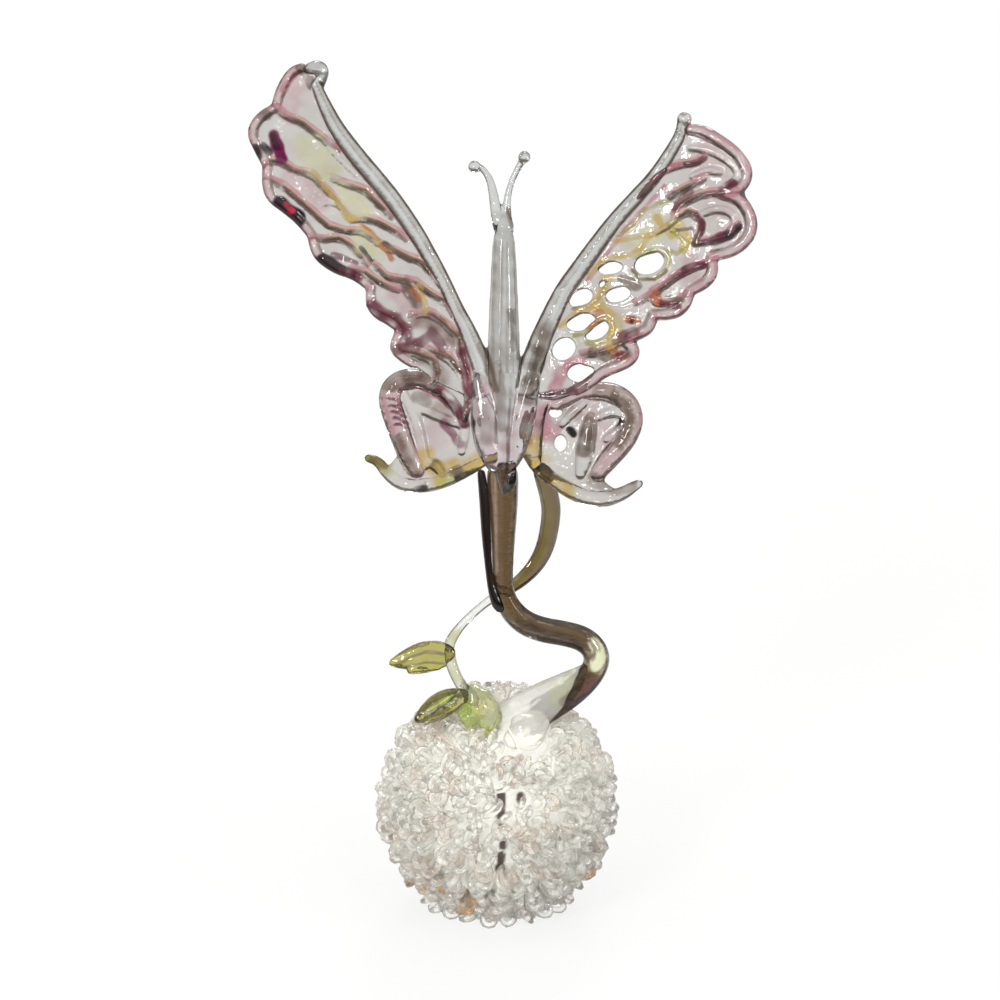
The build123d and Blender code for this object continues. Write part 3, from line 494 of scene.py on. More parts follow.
def beside(line, away):
    """A line of side and rise, moved to its left by one distance or by one for each place."""
    spots = [Vector(place[:2]) for place in line]
    if not hasattr(away, "__len__"):
        away = [away] * len(spots)
    moved = []
    for place, spot in enumerate(spots):
        ahead = (spots[min(place + 1, len(spots) - 1)] - spots[max(place - 1, 0)]).normalized()
        moved.append((spot.x - ahead.y * away[place], spot.y + ahead.x * away[place]))
    return moved


def edge_of(line, share):
    """The line that runs at a share of a rod's radius to the left of its middle."""
    return beside(line, [place[-1] * share for place in line])


def draw_bead(spot, radius):
    """A round bead of glass."""
    deselect_all()
    bpy.ops.mesh.primitive_ico_sphere_add(subdivisions=3, radius=radius, location=spot)
    return apply_placing()


def wing_trails(wing, courses, radius, proud=0.0, ends=0.75):
    """Trails of one radius on a wing, a little thinner at their ends."""
    trails = []
    for line in courses:
        radii = [radius * ends, *[radius] * (len(line) - 2), radius * ends]
        trails.append(draw_trail([wing.spot(*place, proud) for place in line], radii))
    return trails


def film_sheet(wing, outline, holes, thickness):
    """The thin sheet of glass inside an outline, with its open holes."""
    deselect_all()
    bpy.ops.curve.primitive_nurbs_circle_add()
    curve = bpy.context.object.data
    curve.splines.clear()
    curve.dimensions = "2D"
    curve.fill_mode = "BOTH"
    curve.extrude = thickness / MM / 2
    line = curve.splines.new("POLY")
    line.points.add(len(outline) - 1)
    for point, place in zip(line.points, outline):
        point.co = (*place, 0, 1)
    line.use_cyclic_u = True
    bpy.ops.object.convert(target="MESH")
    sheet = bpy.context.object
    if holes:
        apply_modifier(sheet, "WELD", merge_threshold=0.001)
    for side, rise, half_length, half_height, tilt in holes:
        deselect_all()
        bpy.ops.mesh.primitive_cylinder_add(
            vertices=24, radius=1, depth=4, location=(side, rise, 0),
            rotation=(0, 0, math.radians(tilt)),
        )
        bpy.context.object.scale = (half_length, half_height, 1)
        cutter = apply_placing()
        apply_modifier(sheet, "BOOLEAN", operation="DIFFERENCE", object=cutter, solver="EXACT")
        bpy.data.objects.remove(cutter)
    for vertex in sheet.data.vertices:
        vertex.co = wing.spot(*vertex.co)
    return sheet


def vertex_places(mesh):
    places = np.zeros(len(mesh.vertices) * 3)
    mesh.vertices.foreach_get("co", places)
    return places.reshape(-1, 3)


def wave(piece, wing, height):
    """Bends a panel gently forwards and back, as soft glass settles."""
    places = vertex_places(piece.data)
    side, rise = wing.flat(places).T
    lift = np.sin(side * 0.9 + rise * 0.5) + np.sin(rise * 0.8 - side * 0.35 + 1.0)
    places = places + np.outer(lift * height, np.array(FRONT)) * MM
    piece.data.vertices.foreach_set("co", places.ravel())
    piece.data.update()


def melt(name, parts, grain, rounds=6):
    """Melts overlapping trails into one body of glass with soft joins."""
    select_only(*parts)
    if len(parts) > 1:
        bpy.ops.object.join()
    piece = bpy.context.object
    piece.name = piece.data.name = name
    apply_modifier(piece, "REMESH", mode="VOXEL", voxel_size=grain, use_smooth_shade=True)
    apply_modifier(piece, "SMOOTH", factor=0.5, iterations=rounds)
    bpy.ops.object.shade_smooth()
    return piece


def line_distance(places, line):
    """How far each flat place is from a line of straight runs."""
    nearest = np.full(len(places), np.inf)
    for start, end in zip(line, line[1:]):
        start, way = np.array(start), np.subtract(end, start)
        share = np.clip((places - start) @ way / max(way @ way, 1e-9), 0, 1)
        nearest = np.minimum(nearest, np.linalg.norm(places - start - share[:, None] * way, axis=1))
    return nearest


def store_stain_and_shade(mesh, colours):
    """Keeps a colour for each vertex, by which the glass there is multiplied."""
    layer = mesh.attributes.new("stain_and_shade", "FLOAT_COLOR", "POINT")
    solid = np.c_[colours, np.ones(len(colours))]
    layer.data.foreach_set("color", solid.astype(np.float32).ravel())


def paint(piece, plane, strokes):
    """Stains the glass along strokes, one over the other, and paints shade and highlights in it.

    A stroke is a colour name, half its width in mm, its strength, and then its line: a line of
    places, or the side and rise of each place in turn.
    """
    fine_width, fine_edge, broad_edge = 1.3, 2.8, 1.4
    palette = bpy.context.scene.ornament_colours
    places = plane.flat(vertex_places(piece.data))
    stain_and_shade = np.ones((len(places), 3))
    across, along = places.T
    waver = np.sin(across * 1.2 + along * 0.9) * np.sin(along * 1.5 - across * 0.6 + 0.8)
    drift = np.sin(across * 0.7 - along * 1.3 + 2.0) * np.sin(along * 0.9 + across * 1.9)
    for name, width, strength, *line in strokes:
        line = [place[:2] for place in line[0]] if len(line) == 1 else list(rows(2, *line))
        if len(line) == 1:
            line = line * 2
        crisp = fine_edge if width < fine_width else broad_edge
        reach = np.clip(crisp * (1 + 0.2 * waver - line_distance(places, line) / width), 0, 1)
        share = (strength * reach * reach * (3 - 2 * reach))[:, None]
        if strength < 1:
            share = share * (0.9 + 0.3 * drift[:, None]).clip(0, 1)
        stain_and_shade = stain_and_shade * (1 - share) + np.array(getattr(palette, name)) * share
    store_stain_and_shade(piece.data, stain_and_shade)


def dress(piece, material, slot, *nodes):
    """Gives a finished piece its glass, its body and the nodes that it stands for."""
    piece.data.materials.clear()
    piece.data.materials.append(bpy.data.materials[material])
    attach(piece, "root")
    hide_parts(*nodes)


def finish(name, plane, parts, strokes, material, slot, *nodes, rounds=6, fineness=1.0, sway=0):
    """Melts the parts of one piece together, bends and stains the glass, and dresses it.

    Without nodes it stands for the one of its own name, and strokes of None leave it unstained.
    """
    grain = bpy.context.scene.ornament_sizes.melt_grain * fineness
    piece = melt(name + "_glass", parts, grain, rounds)
    if sway:
        wave(piece, plane, sway)
    if strokes is not None:
        paint(piece, plane, strokes)
    dress(piece, material, slot, *(nodes or (name,)))


def feed(node, sources):
    """Gives inputs of a node, by name or number, a value or the socket that feeds them."""
    for key, source in sources.items():
        if isinstance(source, bpy.types.NodeSocket):
            node.id_data.links.new(source, node.inputs[key])
        else:
            node.inputs[key].default_value = source


def add_node(tree, kind, sources=None, **settings):
    """A shader node with its settings and what feeds its inputs."""
    node = tree.nodes.new("ShaderNode" + kind)
    for key, value in settings.items():
        setattr(node, key, value)
    feed(node, sources or {})
    return node


def maths(tree, operation, first, second):
    """The result of a sum with two numbers."""
    return add_node(tree, "Math", {0: first, 1: second}, operation=operation).outputs[0]


def mixed(tree, share, first, second, blend="MIX"):
    """A mix of two colours."""
    sources = {"Factor": share, "A": first, "B": second}
    return add_node(tree, "Mix", sources, data_type="RGBA", blend_type=blend).outputs["Result"]


def add_ramp(tree, source, low, high):
    """A ramp between two colours, each given with its position."""
    node = add_node(tree, "ValToRGB", {"Fac": source})
    for element, (position, colour) in zip(node.color_ramp.elements, (low, high)):
        element.position, element.color = position, colour
    return node


def glass_group():
    """Shared effect of torch-worked glass: painted shade on its slanted edges, stains with painted
    shade and highlights among them, and the ripples of its skin.
    """
    group = bpy.data.node_groups.new("torch glass", "ShaderNodeTree")
    for title, kind in (
        ("Place", "Vector"), ("Facing", "Float"), ("Clear", "Color"), ("Edge", "Color"),
        ("Edge width", "Float"), ("Stain and shade", "Color"), ("Cloud size", "Float"), ("Cloud", "Float"),
        ("Ripple size", "Float"), ("Ripple stretch", "Vector"),
    ):
        group.interface.new_socket(title, in_out="INPUT", socket_type="NodeSocket" + kind)
    for title, kind in (("Colour", "Color"), ("Height", "Float")):
        group.interface.new_socket(title, in_out="OUTPUT", socket_type="NodeSocket" + kind)
    given = group.nodes.new("NodeGroupInput").outputs
    # Facing blends the clear colour into the edge colour: painted shade at the slanted edges
    slant = maths(group, "POWER", given["Facing"], given["Edge width"])
    edged = mixed(group, slant, given["Clear"], given["Edge"])
    stained_and_shaded = mixed(group, 1, edged, given["Stain and shade"], "MULTIPLY")
    cloud = add_node(group, "TexNoise", {
        "Detail": 3, "Vector": given["Place"], "Scale": given["Cloud size"],
    })
    dim = add_node(group, "MapRange", {
        "From Min": 0.45, "From Max": 0.75, "Value": cloud.outputs["Fac"],
    })
    amount = maths(group, "MULTIPLY", dim.outputs["Result"], given["Cloud"])
    clouded = mixed(group, amount, stained_and_shaded, given["Edge"])
    stretch = add_node(group, "VectorMath", {
        0: given["Place"], 1: given["Ripple stretch"],
    }, operation="MULTIPLY")
    ripple = add_node(group, "TexNoise", {
        "Detail": 2, "Vector": stretch.outputs[0], "Scale": given["Ripple size"],
    })
    feed(group.nodes.new("NodeGroupOutput"), {"Colour": clouded, "Height": ripple.outputs["Fac"]})


def glass(name, clear, edge, edge_width=2.2, cloud=0.0, cloud_size=260, ripple=0.15,
          ripple_size=420, stretch=(1, 1, 1), roughness=0.02, transmission=1.0, bend=1.48,
          shadow=1.0, coat=0.0, stained_and_shaded=True):
    """One glass: a clear colour that turns to an edge colour, painted shade, where it is seen at a
    slant.

    Shadow is the share of the lamps' light that it stops: clear glass in a pile lights up inside.
    """
    palette = bpy.context.scene.ornament_colours
    material = bpy.data.materials.new(name)
    material.use_nodes = True
    tree = material.node_tree
    place = add_node(tree, "TexCoord")
    facing = add_node(tree, "LayerWeight", {"Blend": 0.5})
    effect = add_node(tree, "Group", {
        "Place": place.outputs["Object"], "Facing": facing.outputs["Facing"],
        "Clear": (*getattr(palette, clear), 1), "Edge": (*getattr(palette, edge), 1),
        "Edge width": edge_width, "Stain and shade": (1, 1, 1, 1), "Cloud size": cloud_size, "Cloud": cloud,
        "Ripple size": ripple_size, "Ripple stretch": stretch,
    }, node_tree=bpy.data.node_groups["torch glass"])
    if stained_and_shaded:
        stain_and_shade = add_node(tree, "Attribute", attribute_name="stain_and_shade")
        feed(effect, {"Stain and shade": stain_and_shade.outputs["Color"]})
    bump = add_node(tree, "Bump", {
        "Strength": ripple, "Distance": 0.4 * MM, "Height": effect.outputs["Height"],
    })
    shader = tree.nodes["Principled BSDF"]
    feed(shader, {
        "Base Color": effect.outputs["Colour"], "Normal": bump.outputs["Normal"],
        "Roughness": roughness, "IOR": bend, "Transmission Weight": transmission,
        "Coat Weight": coat,
    })
    if shadow < 1:
        path = add_node(tree, "LightPath")
        stop = add_node(tree, "Mix", {
            "Factor": path.outputs["Is Shadow Ray"], "A": 1.0, "B": shadow,
        })
        feed(shader, {"Alpha": stop.outputs["Result"]})


class ORNAMENT_OT_glasses(bpy.types.Operator):
    """Makes the clear, pink, dark, green and milky glasses, with painted shade on their slanted
    edges
    """

    bl_idname = "ornament.add_glasses"
    bl_label = "Glasses"

    def execute(self, context):
        glass_group()
        for name, look in GLASSES.items():
            glass(name, **look)
        return {"FINISHED"}


def forewing_strokes(rims, ribs):
    """The washes of every forewing: pink on its rims, and along its ribs brown painted shade with a
    painted pink and peach highlight on their lit side.
    """
    strokes = [("pink", 1.1, 0.3, line) for line in rims]
    strokes += [("pink", 0.42, 0.95, beside(line, 0.55)) for line in rims]
    strokes += [("brown", 0.25, 0.75, beside(line, -0.65)) for line in rims]
    for line in ribs:
        # Each rib: a painted highlight in pink and peach on its lit side, painted shade in brown
        # and umber down its middle
        lit = [(side - 0.2, rise + 0.45) for side, rise in line]
        strokes += [
            ("pink", 0.5, 0.85, lit), ("peach", 0.25, 0.8, lit[1:-1]),
            ("brown", 0.25, 1, line[1:-1]), ("brown", 0.14, 0.9, line),
            ("umber", 0.1, 0.9, line[1:-1]),
        ]
    return strokes


def add_forewing(name, wing, courses, outline, holes, strokes, *nodes):
    """One forewing: its trails and its film, melted together, stained and dressed.

    A course is lines with their radius, how far they stand proud and the share left at their ends.
    """
    thickness = bpy.context.scene.ornament_sizes.film_thickness
    trails = [trail for course in courses for trail in wing_trails(wing, *course)]
    trails.append(film_sheet(wing, outline, holes, thickness))
    lobes = [f"{name}_lobe_{number}" for number in range(1, 7)]
    finish(name, wing, trails, strokes, "wing glass", "pink_glass", name + "_film", *nodes, *lobes,
           rounds=4, sway=0.14)


LEFT_FORE_STAINS = (
    ("pink", 2.6, 0.35, 31, 40.6, 27, 37.2), ("pink", 2.2, 0.4, 16, 24, 12, 20, 8, 16),
    ("pink", 2, 0.35, 29.8, 54, 31.6, 49.6), ("lime", 3.4, 0.8, 28.6, 44.6, 26, 41.6),
    ("lime", 2.4, 0.9, 23, 38, 21, 35.8), ("lime", 2.2, 0.9, 20.8, 31, 18.9, 29.6),
    ("gold", 0.5, 0.8, 27.8, 41.2, 25.9, 38.9, 24.4, 36.9, 23.4, 34.9, 22.4, 34.1),
    ("gold", 0.5, 0.8, 22.6, 34.9, 21.2, 34, 19.8, 32.6, 18.2, 31, 16.4, 29.6),
    ("orange", 0.3, 0.7, 20.8, 33.6, 19.4, 32.6, 18.4, 31.4),
    ("orange", 0.45, 0.8, 17.9, 30.6, 17, 29.6, 16.4, 28.6),
    ("plum", 0.4, 0.9, 20.9, 30.2, 20, 29, 19.4, 28.4),
    ("brown", 0.5, 0.95, 17.4, 30.8, 15.4, 29.4, 13.8, 28.4),
    ("brown", 1, 0.9, 14.4, 25, 13.7, 23.4, 12.7, 22), ("orange", 0.5, 0.8, 13.4, 24, 12.4, 22.6),
    ("gold", 0.5, 0.8, 12.6, 24.6, 11.6, 22.4, 11.6, 20.8),
    ("plum", 0.5, 0.95, 36.3, 45, 35.6, 43.4), ("plum", 0.7, 0.95, 35.2, 45.2, 34.2, 44),
    ("magenta", 1.1, 1, 33.6, 46.3, 32.6, 43.4), ("plum", 0.5, 0.9, 33.8, 46.6, 33.2, 44.8),
    ("plum", 1.15, 1, 32.6, 36.8, 29.9, 34.5), ("plum", 1, 1, 32.9, 36, 30.2, 34),
    ("red", 0.55, 0.95, 31.9, 36.5, 31, 35.6), ("plum", 1.1, 1, 26.4, 28.6, 24.2, 27),
    ("plum", 0.9, 0.95, 24.2, 27.2, 22.2, 26.2), ("burgundy", 1, 0.9, 23.6, 26.6, 21.4, 25.8),
    ("burgundy", 0.5, 0.8, 25, 29.2, 21.6, 28), ("brown", 0.8, 0.8, 29.8, 56.4, 28.4, 55, 28, 53.8),
    ("pink", 0.7, 0.9, 30.6, 55.4, 32.2, 53.4), ("brown", 0.8, 0.8, 35.4, 49.2, 34.6, 49.4),
    ("burgundy", 1.3, 0.9, LEFT_TWISTS[0]),
    ("burgundy", 1, 0.75, 15.2, 15.4, 13, 15.6, 10.6, 17.8, 9, 15.6),
    ("brown", 1.6, 0.65, 12.6, 19.6, 9.6, 18.8, 7.4, 16.4),
    ("brown", 1.5, 0.6, 11.6, 14.2, 9.6, 12.6, 9, 10.6),
    ("burgundy", 0.8, 0.8, 6.4, 15, 5.6, 11, 5, 8),
)


class ORNAMENT_OT_left_forewing(bpy.types.Operator):
    """Lays the left forewing's trails and film and melts them together"""

    bl_idname = "ornament.add_left_forewing"
    bl_label = "Left forewing"

    def execute(self, context):
        sizes = context.scene.ornament_sizes
        courses = (
            (LEFT_RIMS, sizes.rim_radius, 0, 0.9), (LEFT_RIBS, sizes.rib_radius, 0.4),
            (LEFT_TWISTS, sizes.rib_radius * 1.7, 0.2), (LEFT_PALE_RIBS, sizes.rib_radius, 0.3),
        )
        outline = [*LEFT_FILM_EDGE, *reversed(edge_of(LEFT_SPAR, 0.93))]
        add_forewing("left_forewing", LEFT_FORE, courses, outline, (), (
            *forewing_strokes(LEFT_RIMS, LEFT_RIBS + LEFT_TWISTS), *LEFT_FORE_STAINS,
        ))
        return {"FINISHED"}


RIGHT_FORE_STAINS = (
    ("lime", 3, 0.8, 23.4, 33.4, 20, 31), ("gold", 1.1, 0.75, 25.4, 33.4, 26.8, 31.6, 26.4, 30),
    ("gold", 0.6, 0.8, 22.4, 34.6, 23.4, 33, 24.6, 32),
    ("brown", 0.35, 0.8, 24.6, 32.6, 27.4, 33, 28.4, 31.4), ("pink", 4, 0.25, 30, 44, 33, 34),
    ("pink", 2.4, 0.4, 27.6, 28, 27.8, 24.6),
    ("burgundy", 0.22, 0.8, 29, 46.6, 31.4, 45.4, 33.4, 43.6, 34.6, 41.6),
    ("pink", 0.4, 0.85, beside(RIGHT_SPAR[3:8], 2.0)), ("olive", 0.3, 0.7, RIGHT_LACE[0]),
    ("gold", 0.45, 0.7, RIGHT_LACE[1]), ("olive", 0.4, 0.7, RIGHT_LACE[2]),
    ("gold", 0.5, 0.8, RIGHT_LACE[3]), ("olive", 0.35, 0.7, RIGHT_LACE[4]),
    ("brown", 0.3, 0.8, RIGHT_LACE[4][4:]), ("brown", 0.3, 0.7, RIGHT_LACE[6]),
    ("gold", 0.45, 0.8, RIGHT_LACE[8]), ("olive", 0.4, 0.8, RIGHT_LACE[9]),
    ("gold", 1.4, 0.8, 15, 25.6, 14.2, 23, 12, 21), ("brown", 1, 0.75, 17.6, 25.6, 19.4, 24.6),
    ("gold", 1.8, 0.85, 15.2, 20.6, 16.4, 18.6, 15.8, 16.4),
    ("orange", 1, 0.7, 13.9, 20.4, 12.8, 18.6), ("burgundy", 0.9, 0.95, RIGHT_RIBS[3][:3]),
    ("plum", 0.6, 0.95, RIGHT_RIBS[3][:2]), ("burgundy", 0.5, 0.85, RIGHT_RIBS[3][2:]),
    ("brown", 0.4, 0.95, RIGHT_RIBS[4][:5]), ("burgundy", 0.5, 0.8, RIGHT_RIBS[4][1:4]),
    ("burgundy", 0.7, 0.8, 27.2, 38.2, 25.6, 37, 25, 35.8),
    ("plum", 0.5, 0.85, 24.9, 38, 24.4, 37.5), ("burgundy", 0.7, 0.95, 33.6, 39.6, 32, 38.4),
    ("burgundy", 0.4, 0.75, RIGHT_RIBS[0][3:]), ("pink", 0.6, 0.95, RIGHT_RIBS[0][1:4]),
    ("burgundy", 0.7, 0.95, 29.2, 27.6, 26.4, 27, 25, 26),
    ("pink", 0.5, 0.9, 25.6, 26.8, 23.4, 25.2, 21.6, 24),
    ("orange", 0.9, 0.9, 22.3, 23.2, 22.7, 22.2), ("burgundy", 0.6, 0.85, 23.2, 22, 25.6, 21.6),
    ("brown", 0.4, 0.85, 24, 23, 26.2, 22.4), ("orange", 0.8, 0.95, 18.5, 19.6, 19.4, 19.4),
    ("plum", 0.4, 0.9, 18.7, 19.3, 19, 19.9), ("burgundy", 1, 0.8, 16.6, 16.6, 19, 18),
    ("orange", 1.3, 0.85, 16, 14.6, 17.6, 14.2), ("brown", 0.9, 0.85, 13, 14.8, 15.2, 14.2),
    ("burgundy", 0.9, 0.8, 16.4, 13.9, 18, 14.8), ("pink", 1.5, 0.9, 7.6, 9.8, 9, 12.6, 11, 13.6),
    ("burgundy", 1, 0.7, RIGHT_TWIST),
)


class ORNAMENT_OT_right_forewing(bpy.types.Operator):
    """Lays the right forewing's trails, lace and film and melts them together"""

    bl_idname = "ornament.add_right_forewing"
    bl_label = "Right forewing"

    def execute(self, context):
        sizes = context.scene.ornament_sizes
        courses = (
            (RIGHT_RIMS, sizes.rim_radius * 1.3, 0, 0.85),
            (RIGHT_RIBS, sizes.rib_radius * 1.2, 0.4),
            (RIGHT_PALE_RIBS, sizes.rib_radius * 1.5, 0.4),
            (RIGHT_LACE, sizes.lace_radius, 0.1), ((RIGHT_TWIST,), sizes.rib_radius * 1.6),
        )
        outline = [*RIGHT_FILM_EDGE, *reversed(edge_of(RIGHT_SPAR[1:], 0.9))]
        add_forewing("right_forewing", RIGHT_FORE, courses, outline, RIGHT_HOLES, (
            *forewing_strokes(RIGHT_RIMS, RIGHT_RIBS), *RIGHT_FORE_STAINS,
        ), "right_twist")
        return {"FINISHED"}


# On the hindwings, the brown, umber and grey-brown lines down the thick rods are painted shade, and
# the pale lines beside them painted highlights
LEFT_HIND_STAINS_AND_SHADE = (
    ("pink", 2, 0.5, LEFT_HIND_LOOP), ("brown", 0.85, 0.8, LEFT_HIND_LOOP[:4]),
    ("umber", 0.3, 0.5, LEFT_HIND_LOOP[1:3]), ("brown", 0.8, 0.8, LEFT_HIND_LOOP[6:]),
    ("milk", 0.25, 0.8, beside(LEFT_HIND_LOOP[5:], -0.4)),
    ("haze", 0.3, 0.9, beside(LEFT_HIND_LOOP, 0.9)),
    ("pink", 0.4, 0.9, beside(LEFT_HIND_LOOP, -1.3)), ("pink", 3, 0.3, 9, 6, 11, 2),
    ("haze", 1.6, 0.7, 9.6, 6.8, 8, 5.6), ("brown", 1.1, 0.6, 12.6, 8.6, 11.4, 7.6),
    ("burgundy", 0.2, 0.95, 16.8, 8.2, 14.9, 7.5), ("burgundy", 0.22, 0.95, 16.6, 7.2, 14.7, 6.5),
    ("burgundy", 0.25, 0.95, 16.3, 6.3, 14.3, 5.5), ("burgundy", 0.25, 0.95, 16, 5.4, 14, 4.5),
    ("burgundy", 0.22, 0.95, 15.7, 4.5, 13.8, 3.7),
    ("pink", 0.5, 0.9, 17.6, 8.2, 17, 5.6, 16.2, 3.2),
    ("burgundy", 0.8, 0.95, 9.8, 9, 6.8, 6.4, 5.8, 4.4),
    ("magenta", 0.8, 0.8, 8.8, 4.6, 7.2, 2.8, 6.4, 1.4), ("olive", 2.2, 1, 20, -0.4, 17.6, -1.2),
    ("brown", 0.6, 0.8, 19.4, -0.7, 17.4, -1.7), ("gold", 2.2, 0.9, 11.4, -0.6, 9.6, -3),
    ("brown", 1, 0.8, 9.8, -1.6, 8.8, -2.6), ("gold", 1.9, 0.95, 8.6, -2.2, 5, -1.8, 2.4, -0.4),
    ("green", 0.7, 0.45, 9.4, -4.4, 7.4, -3.6), ("night", 0.5, 0.95, 6.9, -3.4, 5.6, -2.9, 4, -2.3),
    ("brown", 0.8, 0.8, 7.6, -2.6, 6.6, -2.2), ("plum", 0.7, 0.95, 12.8, -5.4, 11.6, -5),
)
RIGHT_HIND_STAINS_AND_SHADE = (
    ("pink", 1.6, 0.5, RIGHT_HIND_LOOP), ("haze", 1.1, 0.95, beside(RIGHT_HIND_LOOP[2:8], -0.3)),
    ("pink", 0.45, 0.9, beside(RIGHT_HIND_LOOP, 1.2)), ("pink", 3, 0.3, 12, 6, 15, 2),
    ("brown", 0.65, 0.8, beside(RIGHT_HIND_LOOP[3:8], -0.4)),
    ("milk", 0.2, 0.8, beside(RIGHT_HIND_LOOP[3:8], 0.3)),
    ("umber", 0.5, 0.7, 17.4, 4.6, 16.6, 2.4, 15.2, 0.8), ("burgundy", 2.4, 0.35, 5, 5.4, 6.6, 3.6),
    ("pink", 2.6, 0.9, 5, 5.6, 6.4, 3.4), ("brown", 1.2, 0.8, 12.4, 4.4, 11.8, 0.4),
    ("umber", 0.5, 0.6, 12.8, 3.8, 12.2, 1), ("haze", 1, 0.8, 12.8, -3.6, 15.6, -5.2, 18.6, -4.8),
    ("haze", 1.6, 0.5, 9, 7, 10.6, 5.4), ("gold", 2.6, 0.9, 3.6, 1.6, 4.6, -1),
    ("gold", 1.5, 0.95, 4.4, -2, 7.4, -4.2, 9.8, -5.6),
    ("brown", 0.6, 0.7, 13.6, -3.2, 16, -4.6, 19, -4), ("brown", 0.9, 0.5, 4, 4.6, 3.4, 2),
    ("night", 0.75, 1, 9.8, 3.5, 10.2, 2.9),
)


class ORNAMENT_OT_hindwings(bpy.types.Operator):
    """Lays the thick rods and fold trails of the two hindwings over their films"""

    bl_idname = "ornament.add_hindwings"
    bl_label = "Hindwings"

    def execute(self, context):
        sizes = context.scene.ornament_sizes
        thick = sizes.hind_radius
        film = sizes.film_thickness * 1.4
        parts = [rod(LEFT_HIND, line, thick) for line in (LEFT_HIND_LOOP, LEFT_HIND_RIM)]
        parts.append(film_sheet(LEFT_HIND, LEFT_HIND_FILM, (), film))
        parts += wing_trails(LEFT_HIND, LEFT_HIND_FOLDS, thick * 0.5, 0.7)
        self.finish_wing("left_hindwing", LEFT_HIND, parts, LEFT_HIND_STAINS_AND_SHADE)
        parts = [rod(RIGHT_HIND, line, thick) for line in (RIGHT_HIND_LOOP, RIGHT_HIND_RIM)]
        parts.append(rod(RIGHT_HIND, RIGHT_HIND_ROOT, thick, 0.3))
        parts.append(rod(RIGHT_HIND, RIGHT_HIND_PLEAT, thick, 0.8))
        parts.append(film_sheet(RIGHT_HIND, RIGHT_HIND_FILM, RIGHT_HIND_HOLES, film))
        parts += wing_trails(RIGHT_HIND, RIGHT_HIND_FOLDS, thick * 0.45, 0.7)
        self.finish_wing("right_hindwing", RIGHT_HIND, parts, RIGHT_HIND_STAINS_AND_SHADE)
        return {"FINISHED"}

    @staticmethod
    def finish_wing(name, wing, parts, strokes):
        nodes = [f"{name}_{part}" for part in ("loop", "fold", "film", "tail")]
        finish(name, wing, parts, strokes, "wing glass", "pink_glass", *nodes)


def spar_strokes(hand, spar):
    """Streaks along a leading rod: painted shade in a dark outer edge and grey-brown lines, a
    painted highlight near its middle, and a pink inner edge.
    """
    return [
        (name, width, strength, [(hand * side, rise) for side, rise in edge_of(spar, share)])
        for name, width, strength, share in (
            ("haze", 0.3, 0.5, 0.4), ("pink", 0.35, 0.9, 0.85), ("umber", 0.28, 1, -0.85),
            ("milk", 0.2, 0.8, 0.15), ("haze", 0.2, 0.9, -0.2),
        )
    ]


# Among these, the dark arcs over the tops of the antenna knobs and the hook and the grey-brown
# lines along the body are painted shade, and the pale line by the right root a painted highlight
BODY_STAINS_AND_SHADE = (
    ("haze", 0.8, 0.5, -28.6, 56.8, -26.6, 57), ("brown", 0.7, 0.95, 26.2, 50),
    ("umber", 0.35, 0.9, -28.9, 57.4, -27.4, 57.7, -26, 57.2, -25.4, 56.2),
    ("clear", 2.2, 0.75, 0, 34, 0, 24, 0, 14), ("brown", 0.5, 0.9, 0.6, 36, 0.9, 34.8, 1.3, 33.4),
    ("umber", 0.3, 0.9, -5, 42.8, -3.6, 43.1, -2.6, 42.2),
    ("umber", 0.3, 0.9, 2.4, 43.6, 3, 44.3, 3.8, 43.8),
    ("brown", 0.25, 0.6, -1.2, 31.4, -1.6, 20, -1.7, 8),
    ("haze", 0.2, 0.8, -0.2, 31, -0.4, 20, -0.6, 10), ("haze", 0.2, 0.8, 0.5, 31, 0.4, 20, 0.4, 12),
    ("umber", 0.3, 0.75, 1.5, 31, 1.9, 22, 2.1, 14), ("pink", 3.2, 0.4, -2.6, 8, -2.2, 0),
    ("pink", 2.4, 0.4, 2.8, 8, 1, 2, 1.2, -5),
    ("umber", 0.6, 0.85, 0.9, 20.8, 1.4, 17.8, 1.3, 15.4),
    ("brown", 0.8, 0.9, -3.4, 16, -2.2, 13, -1.2, 9.6),
    ("umber", 0.3, 0.9, -2.6, 15, -1.6, 12, -1, 9.4), ("brown", 2.2, 0.3, -0.6, 15, 0.2, 8, 0.2, 2),
    ("brown", 0.9, 0.5, -0.9, 13, -0.4, 8, -0.2, 4),
    ("brown", 1.4, 0.8, 6.2, 18.6, 4.8, 13.4, 3.4, 8), ("umber", 0.4, 0.7, 5, 15.6, 3.8, 10.4),
    ("milk", 0.3, 0.9, 6.4, 15.6, 5.2, 12.6, 4.6, 9.6), ("brown", 1.3, 0.55, -3, 6.6, -2.6, 2.4),
    ("umber", 0.2, 0.9, -4.2, 7.6, -2.6, 8.6, -1.2, 6.2, -1.2, 1.6),
    ("umber", 0.25, 0.8, 0.9, 8, 0.6, 3, 0.6, -3.6),
)


